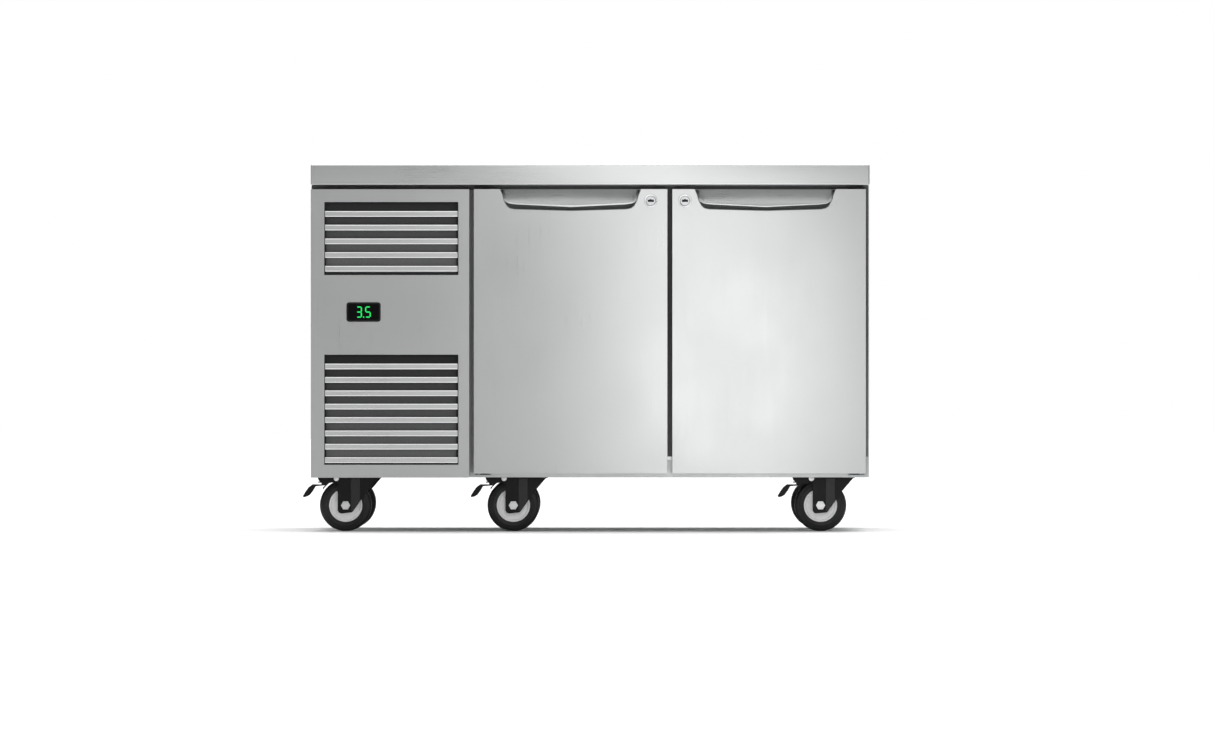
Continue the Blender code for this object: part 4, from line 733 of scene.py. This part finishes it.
def glowing(name, tint, strength):
    """Light-emitting segments behind a diffuser, slightly uneven as real ones are."""
    made, tree, shader, place = new_material(name)
    grain = add_node(tree, "ShaderNodeTexNoise", values={"Scale": 900.0}, links={"Vector": place})
    own = colour(tint)
    shade = add_node(tree, "ShaderNodeMix", {"data_type": "RGBA"}, {
        6: [channel * 0.85 for channel in own[:3]] + [1.0], 7: own,
    }, {0: grain.outputs["Fac"]})
    feed(tree, shader, {
        "Base Color": (0.0, 0.02, 0.01, 1.0), "Roughness": 0.4, "Emission Strength": strength,
    }, {"Emission Color": shade.outputs[2]})
    return made


def segment(x0, z0, x1, z1, half):
    """One bar of a digit with pointed ends, upright or level."""
    along = Vector((x1 - x0, z1 - z0)).normalized()
    across = Vector((-along.y, along.x)) * half
    start, end = Vector((x0, z0)) + along * 0.0004, Vector((x1, z1)) - along * 0.0004
    tip = along * half
    one_side = (start, start + tip + across, end - tip + across)
    other_side = (end, end - tip - across, start + tip - across)
    return [(point.x, point.y, 0.0) for point in one_side + other_side]


def digit(lit, left, foot, width, height):
    """The lit bars of one seven-segment digit."""
    half = 0.0014
    x0, x1 = left + half, left + width - half
    z0, z1, z2 = foot + half, foot + height / 2, foot + height - half
    bars = {
        "top": (x0, z2, x1, z2), "middle": (x0, z1, x1, z1), "foot": (x0, z0, x1, z0),
        "upper_left": (x0, z1, x0, z2), "upper_right": (x1, z1, x1, z2),
        "lower_left": (x0, z0, x0, z1), "lower_right": (x1, z0, x1, z1),
    }
    return [segment(*bars[bar], half) for bar in lit]


# Tinted polycarbonate: smoother than the bezel, so it mirrors a little.
window_plastic = matt("smoked_window", "#030303", 0.12, 500.0, gloss=0.10)
# Lit segments: a flat clear green that needs no light from the room.
green_light = glowing("green_segments", "#00ff6e", 1.0)
eased("controller", 0.0010, black_plastic, "root", "display_plastic")
low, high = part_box("controller")
BEZEL = 0.004
window = slab("controller_window", [
    rectangle(low.x + BEZEL, low.z + BEZEL, high.x - BEZEL, high.z - BEZEL, 0.004),
], (0, low.y - 0.0001, 0), 0.0008, 0.0002)
fit("controller_window", window, window_plastic, "root", "display_plastic")
centre = (low + high) / 2
DIGIT_WIDTH, DIGIT_HEIGHT, DIGIT_GAP = 0.0136, 0.0270, 0.0075
foot = centre.z - DIGIT_HEIGHT / 2
level_bars = ("top", "middle", "foot")
three = digit((*level_bars, "upper_right", "lower_right"),
              centre.x - DIGIT_GAP / 2 - DIGIT_WIDTH, foot, DIGIT_WIDTH, DIGIT_HEIGHT)
five = digit((*level_bars, "upper_left", "lower_right"),
             centre.x + DIGIT_GAP / 2, foot, DIGIT_WIDTH, DIGIT_HEIGHT)
point = [rectangle(centre.x - 0.0015, foot, centre.x + 0.0015, foot + 0.003, 0.0008)]
digits = slab("controller_digits", three + five + point, (0, low.y - 0.0006, 0), 0.0003, 0.00005)
fit("controller_digits", digits, green_light, "root", "display_plastic")


# ---- Hinge brackets ------------------------------------------------------------------
# Steel angles with a pin, screwed to the body above and below each door. The top ones are finished
# black, partly painted shade that keeps the gap above the doors dark, and the bottom ones galvanised.

for side in ("left", "right"):
    for end in ("top", "bottom"):
        # Black on the top brackets: partly painted shade in the gap above the doors.
        finish = black_paint if end == "top" else galvanised
        eased("hinge_%s_%s" % (side, end), 0.0006, finish, "root", "bracket_steel")


# ---- Doors ---------------------------------------------------------------------------
# Each is a folded skin foamed to an inner pan, with a magnetic gasket pushed in round the
# back and a pressed pull let into the top edge.

def grid_mesh(name, rows, where):
    """A sheet through rows of points."""
    mesh = bpy.data.meshes.new(name)
    wide = len(rows[0])
    faces = [
        (r * wide + c, (r + 1) * wide + c, (r + 1) * wide + c + 1, r * wide + c + 1)
        for r in range(len(rows) - 1) for c in range(wide - 1)
    ]
    mesh.from_pydata([tuple(Vector(point) + Vector(where)) for row in rows for point in row], [], faces)
    mesh.validate()
    return mesh


def stepped(pairs, at):
    """The value at a place along a line through (place, value) pairs."""
    for (start, first), (end, last) in zip(pairs, pairs[1:]):
        if at <= end:
            return first + (last - first) * (at - start) / (end - start)
    return pairs[-1][1]


# The skin's cut-out as (drop, half its width), and the pull's lip as (place, drop).
CUT_OUT = [
    (0.0, 0.1695), (0.0150, 0.1635), (0.0273, 0.1600), (0.0405, 0.1530), (0.0460, 0.1460), (0.0486, 0.1340),
]
LIP = [(0.0, 0.0420), (0.1340, 0.0357), (0.1516, 0.0335), (0.1600, 0.0273)]
LEDGE, PROUD, BACK_OF_PULL, SHEET_OF_PULL, HEM = 0.018, 0.0072, 0.0310, 0.0012, 0.0016
PULL_HALF, PULL_GAP, PULL_TOP = 0.160, 0.0016, 0.0010


def pull_rows():
    """The pressed plate from its back flange, over the ledge and down the scoop, to a lip
    that is rolled back on itself. The scoop is a straight slope that ends upright. Points are
    from the door's top edge at the pull's middle."""
    scoop, rows = 24, []
    for row in range(-1, scoop + 1):
        share = max(row, 0) / scoop
        across = []
        rise = 1.11 * share if share < 0.8 else 1 - 2.78 * (1 - share) ** 2
        behind = LEDGE - (LEDGE + PROUD) * rise
        for part in (step / 20 for step in range(-20, 21)):
            drop = PULL_TOP + (stepped(LIP, abs(part) * PULL_HALF) - PULL_TOP) * share
            half = stepped(CUT_OUT, drop) - PULL_GAP
            across.append((part * half, BACK_OF_PULL if row < 0 else behind, -drop))
        rows.append(across)
    lip = rows[-1]
    for angle in range(30, 211, 30):
        turn = math.radians(angle)
        rows.append([
            (x, y + HEM * (1 - math.cos(turn)), z - HEM * math.sin(turn)) for x, y, z in lip
        ])
    return rows


def cup(name, middle, top):
    """The moulded cup behind a pull: a wall round the cut-out, a back, and an open top."""
    loops = []
    for inward, behind in ((0.0003, 0.0017), (0.0003, 0.0305), (0.0013, 0.0295), (0.0013, 0.0017)):
        half = [(width - inward, drop - inward) for drop, width in CUT_OUT]
        half[0] = (half[0][0], 0.0020)
        line = [(middle + width, drop) for width, drop in half] + [(middle, 0.0522 - inward)]
        line += [(middle - width, drop) for width, drop in reversed(half)]
        loops.append([(x, FACE + behind, top - drop) for x, drop in line])
    wide = len(loops[0])
    corners = [point for loop in loops for point in loop]
    faces = [
        (ring * wide + n, ring * wide + n + 1, (ring + 1) % 4 * wide + n + 1, (ring + 1) % 4 * wide + n)
        for ring in (0, 2, 3) for n in range(wide - 1)
    ]
    faces += [tuple(range(wide, 2 * wide)), tuple(range(2 * wide, 3 * wide))]
    faces += [(wide, 2 * wide - 1, 3 * wide - 1, 2 * wide)]
    faces += [tuple(ring * wide + end for ring in range(4)) for end in (0, wide - 1)]
    mesh = bpy.data.meshes.new(name)
    mesh.from_pydata(corners, [], faces)
    bm = bmesh.new()
    bm.from_mesh(mesh)
    bmesh.ops.recalc_face_normals(bm, faces=bm.faces)
    bm.to_mesh(mesh)
    bm.free()
    return mesh


# Vacuum-formed cup: mid grey and dull, partly painted shade for the hollow under the pull.
pocket_plastic_painted_shade = matt("grey_moulded_pocket", "#7f8181", 0.55, 200.0, gloss=0.25)
# Pressed sheet with its lines along the pull, so the lip shows as one bright line.
pull_steel = brushed_steel("pull_stainless", "#bcbdbd", (5, 900, 900), 0.30)
# Extruded soft vinyl: a grey, even, low sheen.
gasket_rubber = matt("gasket_vinyl", "#6f7173", 0.55)
GASKET, PAN_INSET = 0.010, 0.0135
for side in ("left", "right"):
    body = "door_" + side
    eased(body + "_skin", 0.0008, front_steel, body, "front_steel")
    eased(body + "_core", 0.0008, liner_steel, body, "door_core")
    low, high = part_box(body + "_gasket")
    ring = [
        rectangle(low.x + inset, low.z + inset, high.x - inset, high.z - inset, 0.003)
        for inset in (0, GASKET)
    ]
    base = slab(body + "_gasket_base", ring, (0, low.y + 0.0025, 0), 0.005, 0.0010)
    head = slab(body + "_gasket_head", ring, (0, high.y - 0.0028, 0), 0.0055, 0.0018)
    gasket = joined(body + "_gasket", [base, head])
    fit(body + "_gasket_finished", gasket, gasket_rubber, body, "gasket_rubber", body + "_gasket")
    pan = slab(body + "_pan", [rectangle(
        low.x + PAN_INSET, low.z + PAN_INSET, high.x - PAN_INSET, high.z - PAN_INSET, 0.016,
    )], (0, low.y + 0.0030, 0), 0.0060, 0.0025)
    fit(body + "_pan", pan, liner_steel, body, "door_core")
    low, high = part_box(body + "_handle")
    middle, top = (low.x + high.x) / 2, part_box(body + "_skin")[1].z
    pull = grid_mesh(body + "_pull", pull_rows(), (middle, FACE, top))
    plate = fit(body + "_pull", pull, pull_steel, body, "front_steel", body + "_handle")
    wall = plate.modifiers.new("Sheet", "SOLIDIFY")
    wall.thickness = SHEET_OF_PULL
    wall.offset = -1
    # The cup's grey is partly painted shade under the pull.
    fit(body + "_pocket", cup(body + "_pocket", middle, top), pocket_plastic_painted_shade, body, "door_core")


# ---- Locks ---------------------------------------------------------------------------
# A chromed barrel in a pressed ring, held by a nut behind the door's skin. The barrel turns
# with the key, the ring stays.

# Chromed brass barrel: the smoothest metal here, in a bright ring, with a dark groove between them,
# painted shade for the gap there, that draws the barrel's edge.
chrome = brushed_steel("chrome_plate", "#a4a5a6", (60, 60, 60), 0.24)
ring_steel = brushed_steel("bright_ring", "#c3c4c4", (60, 60, 60), 0.30)
groove_painted_shade_steel = brushed_steel("barrel_groove_painted_shade", "#6d6e6f", (60, 60, 60), 0.45)
BARREL, RING = 0.012, 0.0157
KEY_HOLE = ((-0.0073, -0.0024), (0.0073, -0.0024), (0.0073, 0.0020), (0.0034, 0.0024),
            (0.0, 0.0046), (-0.0034, 0.0024), (-0.0073, 0.0020))
for side in ("left", "right"):
    low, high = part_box("lock_" + side)
    centre = (low + high) / 2
    eased("lock_" + side, 0.0006, chrome, "lock_" + side, "lock_chrome")
    ring = [(BARREL + 0.0004, -0.0004), (BARREL + 0.0004, 0.0022)]
    ring += [(RING - 0.0012 + x, 0.0013 + z) for x, z in arc(0.0012, 90, 0, 4)] + [(RING, -0.0004)]
    on_door = (centre.x, FACE, centre.z)
    fit("lock_ring_" + side, lathe("lock_ring_" + side, ring, 48, on_door, TO_FRONT, True),
        ring_steel, "door_" + side, "lock_chrome")
    # The key hole is a black slab set in the barrel's face: painted shade for the dark slot.
    slot = slab("lock_slot_" + side, [[(centre.x + x, centre.z + z, 0.0004) for x, z in KEY_HOLE]],
                (0, low.y + 0.0009, 0), 0.002, 0.0001)
    # A dark ring at the barrel's edge: painted shade for the gap between barrel and ring.
    groove = lathe("lock_groove_" + side, [
        (0.0110, 0.0022), (0.0110, 0.0032), (0.0121, 0.0032), (0.0121, 0.0022),
    ], 48, on_door, TO_FRONT, True)
    fit("lock_slot_" + side, slot, black_plastic, "lock_" + side, "lock_chrome")
    fit("lock_groove_" + side, groove, groove_painted_shade_steel, "lock_" + side, "lock_chrome")


# ---- Castors -------------------------------------------------------------------------
# Pressed black forks that turn on a ball race, rubber tyres on moulded hubs, and a foot
# brake on the front three. Each stands on a rail under the base, held by four bolts.

def hexagon(x, z, radius):
    """A bolt head's outline, with sharp corners."""
    return [(x + across, z + up, 0.0) for across, up in arc(radius, 0, 300, 5)]


# Moulded rubber: near black, with a worn sheen.
tyre_rubber = matt("tyre_rubber", "#161617", 0.46, 300.0, gloss=0.35)
# Moulded polypropylene: a soft white.
hub_plastic = matt("hub_polypropylene", "#ffffff", 0.45, 900.0, 0.08)
# Bright zinc on turned steel: pale and silvery.
bolt_steel = brushed_steel("bright_zinc_bolt", "#d2d3d3", (300, 300, 300), 0.34)
# The fork's enamel in a lighter copy: painted light on a pressed rib that faces more to the light.
rib_painted_light = matt("rib_enamel_painted_light", "#2b2b2c", 0.42, 260.0, gloss=0.3)
HUB, TYRE, LEG = 0.0402, 0.0625, 0.1347       # hub and tyre radius, and the rail's underside
BOLT_RADIUS, BOLT_OUT, BOSS_OUT, RIB_OUT, PIN_OUT = 0.0113, 0.0252, 0.0220, 0.0223, 0.0287
PIN_BACK, PIN_DOWN = 0.022, 0.0077            # the brake's pin, from the axle and the rail
tyre_side = [
    (HUB + 0.0003, 0.0140), (0.0440, 0.0147), (0.0470, 0.0150), (0.0480, 0.0158), (0.0491, 0.0160),
    (0.0502, 0.0158), (0.0511, 0.0150), (0.0530, 0.0146), *arc(0.0095, 72, 0, 6, (TYRE - 0.0095, 0.0052)),
]
hub_side = [
    (0.0066, 0.0170), (0.0125, 0.0170), (0.0137, 0.0164), (0.0143, 0.0150), (0.0150, 0.0104),
    (0.0165, 0.0098), (0.0325, 0.0098), (0.0345, 0.0102), (0.0356, 0.0122), (0.0366, 0.0131),
    (0.0382, 0.0134), (0.0396, 0.0133), (HUB, 0.0126),
]
boss_side = [(0.0056, 0.0064), (0.0062, 0.0070), (0.0070, 0.0070), (0.0076, 0.0064)]
pin_side = [
    (0, -0.0020), (0.0066, -0.0020), (0.0066, 0.0002), (0.0060, 0.0010), (0.0022, 0.0012),
    (0.0018, 0.0002), (0, 0.0),
]


def both_sides(side):
    """A closed profile from one side's points and the same points on the other side."""
    return side + [(radius, -height) for radius, height in reversed(side)]


for place in ("left", "middle", "right"):
    eased("castor_rail_" + place, 0.0008, galvanised, "root", "zinc")
    for row in ("front", "rear"):
        spot = row + "_" + place
        eased("castor_fork_" + spot, 0.0009, black_paint, "swivel_" + spot, "black_steel")
        low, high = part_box("castor_hub_" + spot)
        axle = (low + high) / 2
        fit("castor_tyre_" + spot + "_turned", lathe(
            "castor_tyre_" + spot, both_sides(tyre_side), 64, axle, TO_FRONT, True,
        ), tyre_rubber, "wheel_" + spot, "tyre_rubber", "castor_tyre_" + spot)
        fit("castor_hub_" + spot + "_turned", lathe(
            "castor_hub_" + spot, both_sides(hub_side), 64, axle, TO_FRONT, True,
        ), hub_plastic, "wheel_" + spot, "white_plastic", "castor_hub_" + spot)
        for face, side, outward in ((-1, "front", TO_FRONT), (1, "back", TO_BACK)):
            end = spot + "_" + side
            bolt = slab("castor_bolt", [hexagon(axle.x, axle.z, BOLT_RADIUS)],
                        (0, axle.y + face * BOLT_OUT, 0), 0.0068, 0.0007)
            boss_at = (axle.x, axle.y + face * BOSS_OUT, axle.z)
            boss = lathe("castor_bolt_boss", boss_side, 32, boss_at, outward, True)
            whole = joined("castor_bolt", [bolt, boss])
            fit("castor_bolt_" + end, whole, bolt_steel, "swivel_" + spot, "zinc")
            # A lighter band on each fork leg: painted light where the pressed rib faces the light.
            band = slab("castor_rib", [[
                (axle.x + 0.0140, LEG - 0.0005, 0.0), (axle.x + 0.0345, LEG - 0.0005, 0.0),
                (axle.x + 0.0345, axle.z + 0.010, 0.006), (axle.x + 0.0170, axle.z - 0.0145, 0.004),
                (axle.x + 0.0128, axle.z - 0.0150, 0.002), (axle.x + 0.0128, LEG - 0.020, 0.002),
            ]], (0, axle.y + face * RIB_OUT, 0), 0.0012, 0.0005)
            fit("castor_rib_" + end, band, rib_painted_light, "swivel_" + spot, "black_steel")
            if row == "front":
                pin_at = (axle.x - PIN_BACK, axle.y + face * PIN_OUT, LEG - PIN_DOWN)
                head = lathe("brake_pin_head", pin_side, 32, pin_at, outward)
                fit("brake_pin_head_" + end, head, bolt_steel, "swivel_" + spot, "zinc")
    eased("brake_pedal_" + place, 0.0007, black_paint, "brake_" + place, "black_steel")


# ---- Studio --------------------------------------------------------------------------
# A pale floor, soft light from above and one tall soft box in front, whose reflection is
# the bright band down the doors. The camera is a long lens at the height of the doors.

def pale_floor():
    """Matt white paint, so the floor shows only the fridge's soft shadow."""
    made, tree, shader, place = new_material("studio_floor")
    mottle = add_node(tree, "ShaderNodeTexNoise", values={"Scale": 1.5}, links={"Vector": place})
    base = add_node(tree, "ShaderNodeMix", {"data_type": "RGBA"}, {
        6: colour("#fbfbfb"), 7: colour("#ffffff"),
    }, {0: mottle.outputs["Fac"]})
    feed(tree, shader, {"Roughness": 0.9, "Specular IOR Level": 0.0}, {"Base Color": base.outputs[2]})
    return made


def area_light(name, place, aim, width, height, power):
    """A soft box that points at a spot. It isn't seen itself, only its light."""
    light = bpy.data.lights.new(name, "AREA")
    light.shape = "RECTANGLE"
    light.size, light.size_y, light.energy = width, height, power
    made = bpy.data.objects.new(name, light)
    made.location = place
    made.rotation_euler = (Vector(aim) - Vector(place)).to_track_quat("-Z", "Y").to_euler()
    made.visible_camera = False
    bpy.context.scene.collection.objects.link(made)
    return made


scene = bpy.context.scene
scene.view_settings.view_transform = "Standard"
floor_mesh = bpy.data.meshes.new("studio_floor")
floor_mesh.from_pydata([(-30, -30, 0), (30, -30, 0), (30, 30, 0), (-30, 30, 0)], [], [(0, 1, 2, 3)])
floor_mesh.materials.append(pale_floor())
floor = bpy.data.objects.new("studio_floor", floor_mesh)
scene.collection.objects.link(floor)

world = bpy.data.worlds.new("studio")
world.use_nodes = True
sky = world.node_tree
for old in list(sky.nodes):
    sky.nodes.remove(old)
path = add_node(sky, "ShaderNodeLightPath")
around = add_node(sky, "ShaderNodeSeparateXYZ", links={
    "Vector": add_node(sky, "ShaderNodeTexCoord").outputs["Generated"],
})
climb = add_node(sky, "ShaderNodeMapRange", values={
    "From Min": 0.15, "From Max": 0.90, "To Min": 0.30, "To Max": 0.95,
}, links={"Value": around.outputs["Z"]})
seen = add_node(sky, "ShaderNodeBackground", values={"Color": (1, 1, 1, 1), "Strength": 1.0})
felt = add_node(sky, "ShaderNodeBackground", values={"Color": (1, 1, 1, 1)}, links={
    "Strength": climb.outputs["Result"],
})
both = add_node(sky, "ShaderNodeMixShader", links={
    0: path.outputs["Is Camera Ray"], 1: felt.outputs["Background"], 2: seen.outputs["Background"],
})
add_node(sky, "ShaderNodeOutputWorld", links={"Surface": both.outputs["Shader"]})
scene.world = world

sun = bpy.data.lights.new("soft_top", "SUN")
sun.energy, sun.angle = 1.9, math.radians(50)
sun_object = bpy.data.objects.new("soft_top", sun)
sun_object.rotation_euler = (math.radians(-18), math.radians(4), 0)
scene.collection.objects.link(sun_object)
area_light("front_box", (0.36, -1.9, 0.28), (0.31, -0.35, 0.28), 0.55, 1.15, 3.9)
area_light("fascia_box", (0.06, -1.9, 1.22), (0.04, -0.35, 1.22), 0.45, 0.60, 2.0)

DISTANCE, VIEW_WIDTH = 24.0, 2.911            # to the doors' face, and how much shows there
camera = bpy.data.cameras.new("camera")
camera.lens = 36 * DISTANCE / VIEW_WIDTH
camera.clip_end = 200
camera_object = bpy.data.objects.new("camera", camera)
camera_object.location = (0.0515, -0.342 - DISTANCE, 0.399)
camera_object.rotation_euler = (math.pi / 2, 0, 0)
scene.collection.objects.link(camera_object)
scene.camera = camera_object
